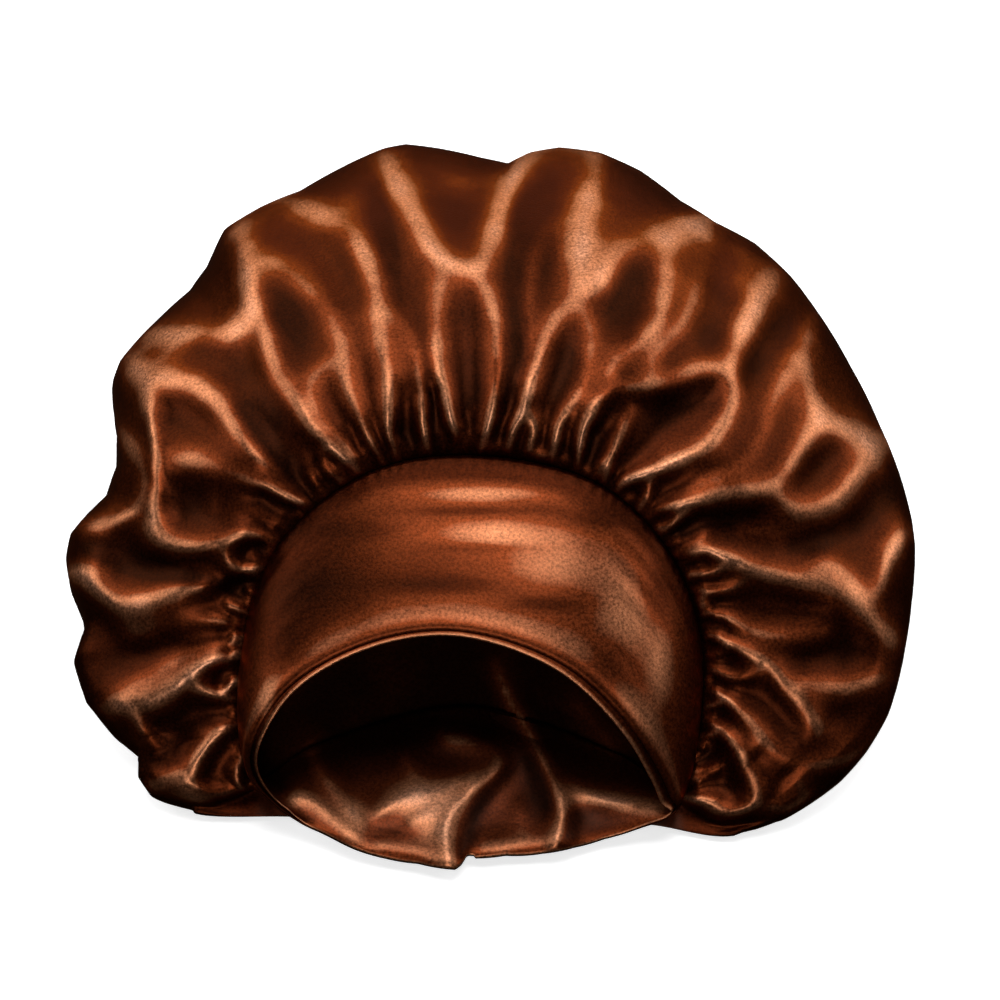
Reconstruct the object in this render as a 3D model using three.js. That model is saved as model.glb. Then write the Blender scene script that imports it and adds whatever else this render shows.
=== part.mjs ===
import * as THREE from "three";

// Named sizes, in millimetres. Table columns marked x, y and z are shares of the first three.
const HALF_WIDTH = 191;
const DEPTH = 376;
const CREST = 128;
const CROWN_CLOTH = 1.4;
const BAND_CLOTH = 2.6;
const SEAM_GAP = 0.5;
const FOLD_RISE = 13;
const FOLD_WIDTH = 10;
const MERIDIAN = 150;
const RING_RADIUS = 103;
const RIM_RADIUS = 186;
const LIP_RISE = 9;
const BAND_BULGE = 3;
const PLEAT_RISE = 2.2;
const PLEATS = 30;
const FLOOR_POLE = { x: 0, y: 0.06 };
const SETTLE = { x: 0.9, y: -4 };

// One row for each station round the head opening, by the angle seen from the front: the seam
// between crown and band, the band's free edge, the crown's widest line (rim), and how the crown
// leaves the seam (rise, lean), rounds over to the rim (fall) and rolls under (tuck).
const SECTIONS = [
  { angle: -170, seam: [-0.55, -0.324, 0.266], edge: [-0.524, -0.41, 0.242], rim: [-0.84, -0.32, 0.15], rise: 0.2, lean: 0.35, fall: 0.12, tuck: 0.16 },
  { angle: -150, seam: [-0.529, -0.375, 0.102], edge: [-0.461, -0.426, 0.125], rim: [-0.725, -0.4, 0.06], rise: 0.08, lean: 0.15, fall: 0.03, tuck: 0.08 },
  { angle: -125, seam: [-0.408, -0.319, 0.052], edge: [-0.346, -0.449, 0.055], rim: [-0.44, -0.41, 0.019], rise: 0.06, lean: 0, fall: 0.003, tuck: 0.04 },
  { angle: -90, seam: [-0.052, -0.261, 0.052], edge: [-0.063, -0.487, 0.028], rim: [-0.042, -0.41, 0.019], rise: 0.06, lean: 0, fall: 0.003, tuck: 0.04 },
  { angle: -55, seam: [0.293, -0.33, 0.052], edge: [0.272, -0.457, 0.055], rim: [0.346, -0.42, 0.019], rise: 0.06, lean: 0, fall: 0.003, tuck: 0.04 },
  { angle: -30, seam: [0.429, -0.388, 0.102], edge: [0.414, -0.428, 0.125], rim: [0.618, -0.431, 0.055], rise: 0.08, lean: 0.15, fall: 0.03, tuck: 0.08 },
  { angle: -10, seam: [0.471, -0.33, 0.242], edge: [0.403, -0.42, 0.188], rim: [0.88, -0.325, 0.172], rise: 0.2, lean: 0.35, fall: 0.12, tuck: 0.16 },
  { angle: 10, seam: [0.476, -0.263, 0.414], edge: [0.372, -0.407, 0.297], rim: [0.965, -0.106, 0.297], rise: 0.3, lean: 0.4, fall: 0.23, tuck: 0.2 },
  { angle: 30, seam: [0.424, -0.205, 0.602], edge: [0.314, -0.388, 0.438], rim: [0.893, 0.1, 0.36], rise: 0.36, lean: 0.45, fall: 0.36, tuck: 0.23 },
  { angle: 60, seam: [0.251, -0.133, 0.789], edge: [0.157, -0.343, 0.617], rim: [0.56, 0.39, 0.39], rise: 0.39, lean: 0.5, fall: 0.51, tuck: 0.27 },
  { angle: 90, seam: [-0.026, -0.104, 0.844], edge: [-0.063, -0.314, 0.68], rim: [-0.031, 0.468, 0.406], rise: 0.41, lean: 0.55, fall: 0.58, tuck: 0.27 },
  { angle: 120, seam: [-0.283, -0.122, 0.805], edge: [-0.272, -0.322, 0.641], rim: [-0.605, 0.345, 0.39], rise: 0.39, lean: 0.5, fall: 0.5, tuck: 0.27 },
  { angle: 150, seam: [-0.497, -0.197, 0.625], edge: [-0.455, -0.362, 0.523], rim: [-0.89, 0.01, 0.344], rise: 0.36, lean: 0.45, fall: 0.34, tuck: 0.23 },
  { angle: 170, seam: [-0.55, -0.261, 0.438], edge: [-0.524, -0.396, 0.383], rim: [-0.925, -0.17, 0.266], rise: 0.3, lean: 0.4, fall: 0.23, tuck: 0.2 },
];

// The crown's folds as crest lines: each point is an angle and a share of the way from the seam
// to the rim; height and width are shares of the two fold sizes.
const FOLDS = [
  { height: 0.8, width: 0.8, crest: [[203.5, 0.3], [203, 0.6], [202, 0.86], [198.5, 0.63], [194, 0.47], [190.3, 0.28], [188.7, 0.05]] },
  { height: 0.9, width: 0.8, crest: [[197, 1.05], [196.6, 0.85], [196.5, 0.6]] },
  { height: 0.9, width: 0.9, crest: [[183.5, 1.1], [183.3, 0.75], [182.8, 0.6], [180, 0.4], [177, 0.3], [174.5, 0.2], [172.5, 0.02]] },
  { height: 0.8, width: 0.8, crest: [[179, 0.34], [181.5, 0.2], [181, 0.1], [177.5, 0.02]] },
  { height: 0.6, width: 0.7, crest: [[183, 0.87], [179.5, 0.67], [175.5, 0.45], [172, 0.25], [169.5, 0.05]] },
  { height: 0.7, width: 0.7, crest: [[171, 0.75], [169.5, 0.58], [167.5, 0.4], [165.5, 0.15], [165, 0.05]] },
  { height: 1.0, width: 0.9, crest: [[163.8, 1.15], [164.5, 0.9], [167, 0.76], [165.5, 0.6], [163.3, 0.45], [159.5, 0.28], [157.5, 0.15]] },
  { height: 1.0, width: 1.1, crest: [[137, 1.1], [136.8, 0.93], [140.5, 0.78], [146, 0.75], [152.5, 0.7], [155, 0.6], [153.8, 0.45], [150.5, 0.3], [146.5, 0.2], [143.5, 0.03]] },
  { height: 0.8, width: 0.8, crest: [[151, 0.3], [153.4, 0.18], [150, 0.03]] },
  { height: 0.9, width: 1.1, crest: [[144, 0.74], [141, 0.5], [138, 0.3], [134.5, 0.12], [132.5, 0.04]] },
  { height: 0.9, width: 0.9, crest: [[136.8, 0.93], [133, 0.72], [132.2, 0.55], [133.4, 0.37], [132.5, 0.2]] },
  { height: 0.7, width: 1.2, crest: [[134.5, 1.0], [130.5, 0.9], [124.5, 0.76], [120.5, 0.7]] },
  { height: 1.0, width: 1.0, crest: [[117.5, 1.1], [118.5, 0.9], [120.3, 0.65], [122.3, 0.45], [122, 0.2], [117.5, 0.02]] },
  { height: 0.8, width: 0.7, crest: [[116.8, 0.9], [114, 0.73], [111.3, 0.55], [112.5, 0.4], [113.3, 0.3], [112, 0.03]] },
  { height: 0.8, width: 0.7, crest: [[112.5, 0.4], [117.5, 0.39], [119.8, 0.28], [116.5, 0.05]] },
  { height: 1.0, width: 1.1, crest: [[115, 1.1], [110.5, 0.95], [105, 0.75], [103.5, 0.5], [105.7, 0.38], [107, 0.2], [109.5, 0.05]] },
  { height: 0.8, width: 0.7, crest: [[103.3, 0.5], [100.3, 0.35], [101.3, 0.13], [100, 0.03]] },
  { height: 1.1, width: 0.8, crest: [[100, 1.15], [99.5, 0.9], [97, 0.75], [94.5, 0.63], [91.5, 0.61], [88.5, 0.65], [87, 0.85], [85.5, 0.93], [81, 1.0]] },
  { height: 1.0, width: 0.9, crest: [[94.5, 0.61], [96.2, 0.4], [96.3, 0.25], [94.5, 0.08]] },
  { height: 1.0, width: 0.9, crest: [[89.5, 0.6], [86.5, 0.42], [86, 0.22], [88.5, 0.05]] },
  { height: 1.0, width: 1.1, crest: [[77, 1.1], [76.5, 0.75], [75.5, 0.52], [78.5, 0.37], [79.8, 0.2], [83, 0.03]] },
  { height: 0.8, width: 0.8, crest: [[75.5, 0.52], [71, 0.4], [70.5, 0.3], [72.3, 0.1]] },
  { height: 0.9, width: 0.9, crest: [[63, 1.1], [66, 0.9], [71, 0.75], [72.5, 0.55]] },
  { height: 0.8, width: 0.8, crest: [[67.5, 0.88], [64.5, 0.7], [62, 0.58], [65, 0.5], [67.5, 0.33]] },
  { height: 0.9, width: 0.9, crest: [[54, 1.1], [53.8, 0.85], [51.5, 0.62], [48.5, 0.57], [46, 0.42], [48, 0.27], [51, 0.14], [54, 0.02]] },
  { height: 0.9, width: 0.8, crest: [[52, 0.6], [56.5, 0.47], [60.5, 0.38], [65, 0.32], [66.8, 0.2], [65, 0.02]] },
  { height: 0.7, width: 0.7, crest: [[60.5, 0.3], [59.8, 0.15], [58, 0.02]] },
  { height: 0.9, width: 1.0, crest: [[29.5, 1.1], [32, 0.93], [37, 0.8], [37, 0.72], [34, 0.53], [33.5, 0.48], [37.5, 0.32], [40.5, 0.17], [45, 0.03]] },
  { height: 0.7, width: 0.8, crest: [[45.5, 0.83], [43.5, 0.65], [40.3, 0.5], [41, 0.33], [44, 0.15]] },
  { height: 0.8, width: 1.0, crest: [[29, 0.9], [27.7, 0.65], [31, 0.5]] },
  { height: 0.8, width: 1.3, crest: [[20, 1.1], [17, 0.88], [18, 0.7], [20, 0.6]] },
  { height: 1.0, width: 0.8, crest: [[3.5, 1.1], [8, 0.87], [13, 0.7], [17.5, 0.5], [21.5, 0.33], [27, 0.2], [32.5, 0.03]] },
  { height: 0.7, width: 0.7, crest: [[9, 0.65], [9, 0.42], [11, 0.25], [18.5, 0.03]] },
  { height: 0.8, width: 0.8, crest: [[1.5, 0.9], [0, 0.7], [1.5, 0.42]] },
  { height: 0.9, width: 0.8, crest: [[-9.5, 0.72], [-5, 0.6], [-0.5, 0.47], [3.5, 0.35], [8, 0.18], [14, 0.03]] },
  { height: 0.9, width: 0.8, crest: [[-9.5, 1.1], [-12.3, 0.85], [-13, 0.65], [-10.5, 0.42], [-5.5, 0.25], [-0.5, 0.03]] },
  { height: 0.8, width: 0.7, crest: [[-20.5, 1.1], [-17.5, 0.88], [-16.5, 0.6], [-15, 0.45]] },
  { height: 0.9, width: 0.8, crest: [[-28.5, 0.02], [-26, 0.4], [-26, 0.65], [-22.5, 0.72], [-17, 0.45], [-11, 0.18], [-8, 0.03]] },
];

// The slack lip's folds, by angle and share of the way from the free edge to the seam.
const LIP_FOLDS = [
  { height: 0.5, width: 0.9, crest: [[-140, 0.55], [-128, 0.35], [-122, 0.1]] },
  { height: 0.8, width: 1.1, crest: [[-104, 0.85], [-98, 0.6], [-96, 0.3], [-94, 0.02]] },
  { height: 0.9, width: 1.0, crest: [[-78, 1.0], [-70, 0.7], [-62, 0.35], [-64, 0.05]] },
  { height: 0.6, width: 0.9, crest: [[-62, 0.35], [-50, 0.3], [-38, 0.25]] },
];

// How far the rim stands out or in from the sections, as a share of the fold height.
const SCALLOPS = [
  { angle: 194, spread: 5, out: 0.1 },
  { angle: 176, spread: 6, out: 0.6 },
  { angle: 163, spread: 6, out: 0.8 },
  { angle: 150, spread: 5, out: -0.3 },
  { angle: 139, spread: 6, out: 0.8 },
  { angle: 116, spread: 7, out: 0.6 },
  { angle: 98, spread: 6, out: 1 },
  { angle: 80, spread: 6, out: 0.6 },
  { angle: 69, spread: 4, out: -0.2 },
  { angle: 48, spread: 6, out: 0.5 },
  { angle: 21, spread: 7, out: 0.4 },
];

// Mesh divisions. The gathered part of the ring has closer columns than the front.
const FRONT_FROM = -152;
const FRONT_TO = -28;
const GATHERED_COLUMNS = 124;
const FRONT_COLUMNS = 22;
const UPPER_SHARES = [0, 0.04, 0.1, 0.18, 0.27, 0.36, 0.46, 0.56, 0.66, 0.76, 0.86, 0.94, 1];
const TURN_SHARES = [0.35, 0.7, 1];
const FLOOR_SHARES = [0.45];
const BAND_SHARES = [0, 0.15, 0.4, 0.65, 0.9, 1];

const radians = (degrees) => (degrees * Math.PI) / 180;
const mix = (a, b, t) => a + (b - a) * t;
const smooth = (t) => t * t * (3 - 2 * t);
const clamp = (t) => Math.min(1, Math.max(0, t));
const wrap = (angle) => ((angle % 360) + 360) % 360;
const toPoint = ([x, y, z]) => new THREE.Vector3(x * HALF_WIDTH, y * DEPTH, z * CREST);

// The smallest turn between two angles, with its sign.
function turnBetween(a, b) {
  return ((((a - b + 180) % 360) + 360) % 360) - 180;
}

// Three-point slope, weighted by spacing, so that uneven stations still give a smooth ring.
function slopeAt(before, here, after, gapBefore, gapAfter) {
  const left = (here - before) / gapBefore;
  const right = (after - here) / gapAfter;
  return (left * gapAfter + right * gapBefore) / (gapBefore + gapAfter);
}

function ringValue(angle, pick) {
  const count = SECTIONS.length;
  const a = wrap(angle - SECTIONS[0].angle);
  let i = count - 1;
  while (wrap(SECTIONS[i].angle - SECTIONS[0].angle) > a) i -= 1;
  const row = (k) => SECTIONS[(i + k + count) % count];
  const gap = (k) => wrap(row(k + 1).angle - row(k).angle);
  const value = (k) => pick(row(k));
  const t = wrap(angle - row(0).angle) / gap(0);
  const from = slopeAt(value(-1), value(0), value(1), gap(-1), gap(0)) * gap(0);
  const to = slopeAt(value(0), value(1), value(2), gap(0), gap(1)) * gap(0);
  const t2 = t * t;
  const t3 = t2 * t;
  return (
    (2 * t3 - 3 * t2 + 1) * value(0) + (t3 - 2 * t2 + t) * from + (3 * t2 - 2 * t3) * value(1) + (t3 - t2) * to
  );
}

function ringPoint(angle, line) {
  return toPoint([0, 1, 2].map((axis) => ringValue(angle, (row) => row[line][axis])));
}

// Outward normal of the band beside its seam.
function bandNormal(angle) {
  const along = ringPoint(angle + 2, "seam").sub(ringPoint(angle - 2, "seam"));
  const across = ringPoint(angle, "seam").sub(ringPoint(angle, "edge"));
  return across.cross(along).normalize();
}

// The four control points of the crown's run from the seam to the rim.
function crownKeys(angle) {
  const normal = bandNormal(angle);
  const start = ringPoint(angle, "seam").addScaledVector(normal, (BAND_CLOTH + CROWN_CLOTH) / 2 + SEAM_GAP);
  const rim = ringPoint(angle, "rim");
  const toRim = rim.clone().sub(start).setZ(0).normalize();
  const lean = clamp(ringValue(angle, (row) => row.lean));
  const leave = normal.multiplyScalar(lean).addScaledVector(toRim, 1 - lean).normalize();
  return {
    start,
    first: start.clone().addScaledVector(leave, ringValue(angle, (row) => row.rise) * CREST),
    last: rim.clone().add(new THREE.Vector3(0, 0, ringValue(angle, (row) => row.fall) * CREST)),
    rim,
    toRim,
  };
}

function foldScale(share) {
  return share < 0.45 ? mix(0.3, 1, smooth(share / 0.45)) : mix(1, 0.55, smooth(clamp((share - 0.45) / 0.55)));
}

function foldSpread(share) {
  return FOLD_WIDTH * mix(0.45, 1.15, clamp(share / 0.7));
}

// Distance in millimetres from a spot on the cloth to a crest line.
function crestDistance(crest, angle, share, degree, length) {
  let best = Infinity;
  for (let i = 0; i + 1 < crest.length; i += 1) {
    const ax = turnBetween(crest[i][0], angle) * degree;
    const ay = (crest[i][1] - share) * length;
    const bx = turnBetween(crest[i + 1][0], angle) * degree;
    const by = (crest[i + 1][1] - share) * length;
    const dx = bx - ax;
    const dy = by - ay;
    const t = clamp(-(ax * dx + ay * dy) / (dx * dx + dy * dy));
    best = Math.min(best, Math.hypot(ax + dx * t, ay + dy * t));
  }
  return best;
}

// All the crests together: the highest one wins, with the meetings rounded.
function crestSum(folds, angle, share, degree, length, spread) {
  let sum = 0;
  for (const fold of folds) {
    const away = crestDistance(fold.crest, angle, share, degree, length) / (spread * fold.width);
    sum += (fold.height * Math.exp(-away * away)) ** 3;
  }
  return Math.cbrt(sum);
}

// How much of the gathering is there: none under the lip in front.
function gatherShare(angle) {
  const fromFront = Math.abs(turnBetween(angle, -90));
  return smooth(clamp((fromFront - 58) / 22));
}

function foldHeight(angle, share) {
  const gathered = gatherShare(angle);
  if (gathered === 0) return 0;
  const degree = radians(mix(RING_RADIUS, RIM_RADIUS, share));
  const folds = crestSum(FOLDS, angle, share, degree, MERIDIAN, foldSpread(share)) * foldScale(share) * FOLD_RISE;
  const pleats = PLEAT_RISE * (0.5 + 0.5 * Math.cos(radians(angle) * PLEATS * 1.5)) * (1 - smooth(clamp(share / 0.3)));
  const held = mix(0.15, 1, smooth(clamp(share / 0.06)));
  return (folds + pleats) * gathered * held;
}

function scallopOut(angle) {
  let out = 0;
  for (const row of SCALLOPS) {
    const away = turnBetween(angle, row.angle) / row.spread;
    out += row.out * Math.exp(-away * away);
  }
  return out * FOLD_RISE;
}

// A point on the crown's middle surface: share 0 to 1 from seam to rim.
function crownUpper(angle, share) {
  const keys = crownKeys(angle);
  const q = 1 - share;
  return new THREE.Vector3()
    .addScaledVector(keys.start, q * q * q)
    .addScaledVector(keys.first, 3 * q * q * share)
    .addScaledVector(keys.last, 3 * q * share * share)
    .addScaledVector(keys.rim, share * share * share)
    .addScaledVector(keys.toRim, scallopOut(angle) * smooth(share));
}

// From the rim round under to the floor: turn 0 to 1.
function crownTurn(angle, turn) {
  const keys = crownKeys(angle);
  const tuck = ringValue(angle, (row) => row.tuck) * CREST;
  const drop = keys.rim.z - CROWN_CLOTH / 2;
  const swing = radians(90 * turn);
  return keys.rim
    .clone()
    .addScaledVector(keys.toRim, scallopOut(angle) * (1 - turn) - tuck * (1 - Math.cos(swing)))
    .setZ(keys.rim.z - drop * Math.sin(swing));
}

// The rows of one column of the crown's middle surface, before the folds are added.
function crownColumn(angle) {
  const column = UPPER_SHARES.map((share) => crownUpper(angle, share));
  TURN_SHARES.forEach((turn) => column.push(crownTurn(angle, turn)));
  const landed = column[column.length - 1];
  const pole = crownPole();
  FLOOR_SHARES.forEach((share) => column.push(landed.clone().lerp(pole, share)));
  return column;
}

function crownPole() {
  return new THREE.Vector3(FLOOR_POLE.x * HALF_WIDTH, FLOOR_POLE.y * DEPTH, CROWN_CLOTH / 2);
}

function columnAngles() {
  const angles = [];
  const gatheredSpan = 360 - (FRONT_TO - FRONT_FROM);
  for (let i = 0; i < GATHERED_COLUMNS; i += 1) angles.push(FRONT_TO + (gatheredSpan * i) / GATHERED_COLUMNS);
  for (let i = 0; i < FRONT_COLUMNS; i += 1) {
    angles.push(FRONT_FROM + ((FRONT_TO - FRONT_FROM) * i) / FRONT_COLUMNS + 360);
  }
  return angles;
}

// Normals of a grid of columns closed round the ring.
function gridNormals(grid) {
  const count = grid.length;
  return grid.map((column, i) =>
    column.map((_, j) => {
      const along = grid[(i + 1) % count][j].clone().sub(grid[(i + count - 1) % count][j]);
      const down = column[Math.min(j + 1, column.length - 1)].clone().sub(column[Math.max(j - 1, 0)]);
      return down.cross(along).normalize();
    }),
  );
}

// Pushes each point out along its normal.
function displaced(grid, amount) {
  const normals = gridNormals(grid);
  return grid.map((column, i) => column.map((p, j) => p.clone().addScaledVector(normals[i][j], amount(i, j))));
}

// A closed shell from a ring of columns: outer and inner skins joined at the first row, and at
// the last row too, or drawn together at a pole.
function shellGeometry(grid, wall, pole) {
  const half = displaced(grid, () => wall / 2);
  const inner = displaced(grid, () => -wall / 2);
  const columns = grid.length;
  const rows = grid[0].length;
  const points = [];
  const faces = [];
  const indexOf = (skin, i, j) => (skin * columns + ((i + columns) % columns)) * rows + j;
  for (const skin of [half, inner]) for (const column of skin) for (const p of column) points.push(p.x, p.y, p.z);
  const quad = (a, b, c, d) => faces.push(a, b, c, a, c, d);
  for (let i = 0; i < columns; i += 1) {
    for (let j = 0; j + 1 < rows; j += 1) {
      quad(indexOf(0, i, j), indexOf(0, i, j + 1), indexOf(0, i + 1, j + 1), indexOf(0, i + 1, j));
      quad(indexOf(1, i, j), indexOf(1, i + 1, j), indexOf(1, i + 1, j + 1), indexOf(1, i, j + 1));
    }
    quad(indexOf(0, i, 0), indexOf(0, i + 1, 0), indexOf(1, i + 1, 0), indexOf(1, i, 0));
    if (!pole) {
      const k = rows - 1;
      quad(indexOf(0, i, k), indexOf(1, i, k), indexOf(1, i + 1, k), indexOf(0, i + 1, k));
    }
  }
  if (pole) {
    const lower = points.length / 3;
    points.push(pole.x, pole.y, pole.z - wall / 2);
    points.push(pole.x, pole.y, pole.z + wall / 2);
    for (let i = 0; i < columns; i += 1) {
      faces.push(indexOf(0, i, rows - 1), lower, indexOf(0, i + 1, rows - 1));
      faces.push(indexOf(1, i, rows - 1), indexOf(1, i + 1, rows - 1), lower + 1);
    }
  }
  const geometry = new THREE.BufferGeometry();
  geometry.setAttribute("position", new THREE.Float32BufferAttribute(points, 3));
  geometry.setIndex(faces);
  geometry.translate(SETTLE.x, SETTLE.y, 0);
  geometry.computeVertexNormals();
  return geometry;
}

function crownGeometry() {
  const angles = columnAngles();
  const base = angles.map(crownColumn);
  const heights = angles.map((angle) => {
    const upper = UPPER_SHARES.map((share) => foldHeight(angle, share));
    const rim = upper[upper.length - 1];
    const turned = TURN_SHARES.map((turn) => rim * (1 - turn));
    return [...upper, ...turned, ...FLOOR_SHARES.map(() => 0)];
  });
  const folded = displaced(base, (i, j) => heights[i][j]);
  for (const column of folded) for (const p of column) p.z = Math.max(p.z, CROWN_CLOTH / 2);
  return shellGeometry(folded, CROWN_CLOTH, crownPole());
}

// The band's middle surface: share 0 at the free edge, 1 at the seam.
function bandPoint(angle, share) {
  const point = ringPoint(angle, "edge").lerp(ringPoint(angle, "seam"), share);
  const around = gatherShare(angle);
  const bulge = BAND_BULGE * 4 * share * (1 - share) * around;
  return point.addScaledVector(bandNormal(angle), bulge);
}

function lipHeight(angle, share) {
  const slack = 1 - gatherShare(angle);
  const seamless = 1 - smooth(clamp((share - 0.6) / 0.4));
  const rise = crestSum(LIP_FOLDS, angle, share, radians(RING_RADIUS), 84, FOLD_WIDTH);
  return rise * LIP_RISE * slack * seamless;
}

function bandGeometry() {
  const angles = [];
  const count = 72;
  for (let i = 0; i < count; i += 1) angles.push((360 * i) / count);
  const grid = angles.map((angle) =>
    BAND_SHARES.map((share) => {
      const point = bandPoint(angle, share);
      point.z += lipHeight(angle, share);
      return point;
    }),
  );
  return shellGeometry(grid, BAND_CLOTH, null);
}

function piece(name, geometry, colour) {
  const mesh = new THREE.Mesh(geometry, new THREE.MeshStandardMaterial({ color: colour, side: THREE.DoubleSide }));
  mesh.name = name;
  return mesh;
}

const group = new THREE.Group();
group.name = "sleep_bonnet";
group.add(piece("crown", crownGeometry(), 0x6b3520));
group.add(piece("band", bandGeometry(), 0x7a4029));

export default group;
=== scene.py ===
import math

import bpy
import numpy as np
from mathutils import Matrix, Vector


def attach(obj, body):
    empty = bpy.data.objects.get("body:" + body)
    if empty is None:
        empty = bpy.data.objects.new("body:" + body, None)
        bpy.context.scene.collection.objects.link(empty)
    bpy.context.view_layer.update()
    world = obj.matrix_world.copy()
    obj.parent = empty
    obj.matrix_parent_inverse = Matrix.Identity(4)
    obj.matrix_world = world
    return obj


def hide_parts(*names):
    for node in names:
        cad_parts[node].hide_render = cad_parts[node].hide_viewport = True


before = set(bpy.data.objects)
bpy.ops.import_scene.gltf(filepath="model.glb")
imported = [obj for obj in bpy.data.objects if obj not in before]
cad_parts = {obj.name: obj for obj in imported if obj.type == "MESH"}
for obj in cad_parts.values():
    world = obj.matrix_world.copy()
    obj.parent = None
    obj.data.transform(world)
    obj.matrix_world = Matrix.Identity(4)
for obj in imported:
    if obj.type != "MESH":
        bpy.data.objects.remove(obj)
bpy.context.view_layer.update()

# Named sizes in millimetres, the same as the part's source. Columns marked x, y and z in the
# tables are shares of the first three.
HALF_WIDTH = 191.0
DEPTH = 376.0
CREST = 128.0
SETTLE = (0.9, -4.0)
BAND_CLOTH = 2.6
CROWN_CLOTH = 1.4
SEAM_GAP = 0.5
# The middle of the crown's floor lies this share of the depth behind the origin.
POLE_BACK = 0.06
BAND_BULGE = 3.0
MM = 0.001

# The photograph's view: millimetres and radians.
CAMERA_AIM = np.array([5.4, -27.0, 60.0])
CAMERA_DISTANCE = 1366.0
CAMERA_ELEVATION = math.radians(50.0)
FORWARD = np.array([0.0, math.cos(CAMERA_ELEVATION), -math.sin(CAMERA_ELEVATION)])
UPWARD = np.array([0.0, math.sin(CAMERA_ELEVATION), math.cos(CAMERA_ELEVATION)])
EYE = CAMERA_AIM - FORWARD * CAMERA_DISTANCE
LENS = 110.0
SENSOR = 36.0
PICTURE_SIZE = 1000.0
PICTURE_MIDDLE = PICTURE_SIZE / 2
FOCAL = LENS / SENSOR * PICTURE_SIZE
PIXELS_PER_MM = 2.1

# Read from the photograph, in its pixels: the middle the folds are drawn round, the seam
# and the crown's outline.
DRAWING_CENTRE = (475.0, 687.0)
SEEN_SEAM = (
    (246, 700), (246, 663), (251, 629), (261, 589), (281, 548), (311.5, 516), (345, 489), (389, 469),
    (437, 459), (480.5, 457), (524.5, 461), (565, 472), (602, 491), (636, 518), (663, 548), (683, 582),
    (697, 619), (702, 660), (700, 700), (690, 751), (675, 800),
)
SEEN_OUTLINE = (
    (283, 812), (200, 810), (150, 795), (138, 777), (139, 751), (110, 731), (86, 701), (74, 661),
    (85, 628), (83, 612), (70, 582), (66, 555), (70, 535), (86, 515), (106, 496), (118, 462),
    (118, 429), (113, 380), (120, 360), (146, 330), (190, 290), (208, 265), (225, 228), (260, 207),
    (300, 190), (345, 165), (385, 147), (405, 143), (440, 148), (480, 157), (508, 163), (530, 152),
    (560, 147), (600, 152), (640, 170), (680, 200), (715, 222), (755, 243), (790, 275), (820, 315),
    (850, 365), (880, 425), (900, 475), (912, 520), (915, 545), (912, 600), (905, 650), (890, 710),
    (870, 745), (845, 775), (820, 795), (790, 815), (750, 830), (700, 838), (655, 835),
)

# One row for each station round the head opening: angle, then seam, free edge and rim as shares,
# then how the crown leaves the seam (rise, lean), rounds over to the rim (fall) and rolls under
# (tuck).
SECTIONS = (
    (-170, (-0.55, -0.324, 0.266), (-0.524, -0.41, 0.242), (-0.84, -0.32, 0.15), 0.2, 0.35, 0.12, 0.16),
    (-150, (-0.529, -0.375, 0.102), (-0.461, -0.426, 0.125), (-0.725, -0.4, 0.06), 0.08, 0.15, 0.03, 0.08),
    (-125, (-0.408, -0.319, 0.052), (-0.346, -0.449, 0.055), (-0.44, -0.41, 0.019), 0.06, 0, 0.003, 0.04),
    (-90, (-0.052, -0.261, 0.052), (-0.063, -0.487, 0.028), (-0.042, -0.41, 0.019), 0.06, 0, 0.003, 0.04),
    (-55, (0.293, -0.33, 0.052), (0.272, -0.457, 0.055), (0.346, -0.42, 0.019), 0.06, 0, 0.003, 0.04),
    (-30, (0.429, -0.388, 0.102), (0.414, -0.428, 0.125), (0.618, -0.431, 0.055), 0.08, 0.15, 0.03, 0.08),
    (-10, (0.471, -0.33, 0.242), (0.403, -0.42, 0.188), (0.88, -0.325, 0.172), 0.2, 0.35, 0.12, 0.16),
    (10, (0.476, -0.263, 0.414), (0.372, -0.407, 0.297), (0.965, -0.106, 0.297), 0.3, 0.4, 0.23, 0.2),
    (30, (0.424, -0.205, 0.602), (0.314, -0.388, 0.438), (0.893, 0.1, 0.36), 0.36, 0.45, 0.36, 0.23),
    (60, (0.251, -0.133, 0.789), (0.157, -0.343, 0.617), (0.56, 0.39, 0.39), 0.39, 0.5, 0.51, 0.27),
    (90, (-0.026, -0.104, 0.844), (-0.063, -0.314, 0.68), (-0.031, 0.468, 0.406), 0.41, 0.55, 0.58, 0.27),
    (120, (-0.283, -0.122, 0.805), (-0.272, -0.322, 0.641), (-0.605, 0.345, 0.39), 0.39, 0.5, 0.5, 0.27),
    (150, (-0.497, -0.197, 0.625), (-0.455, -0.362, 0.523), (-0.89, 0.01, 0.344), 0.36, 0.45, 0.34, 0.23),
    (170, (-0.55, -0.261, 0.438), (-0.524, -0.396, 0.383), (-0.925, -0.17, 0.266), 0.3, 0.4, 0.23, 0.2),
)

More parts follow.
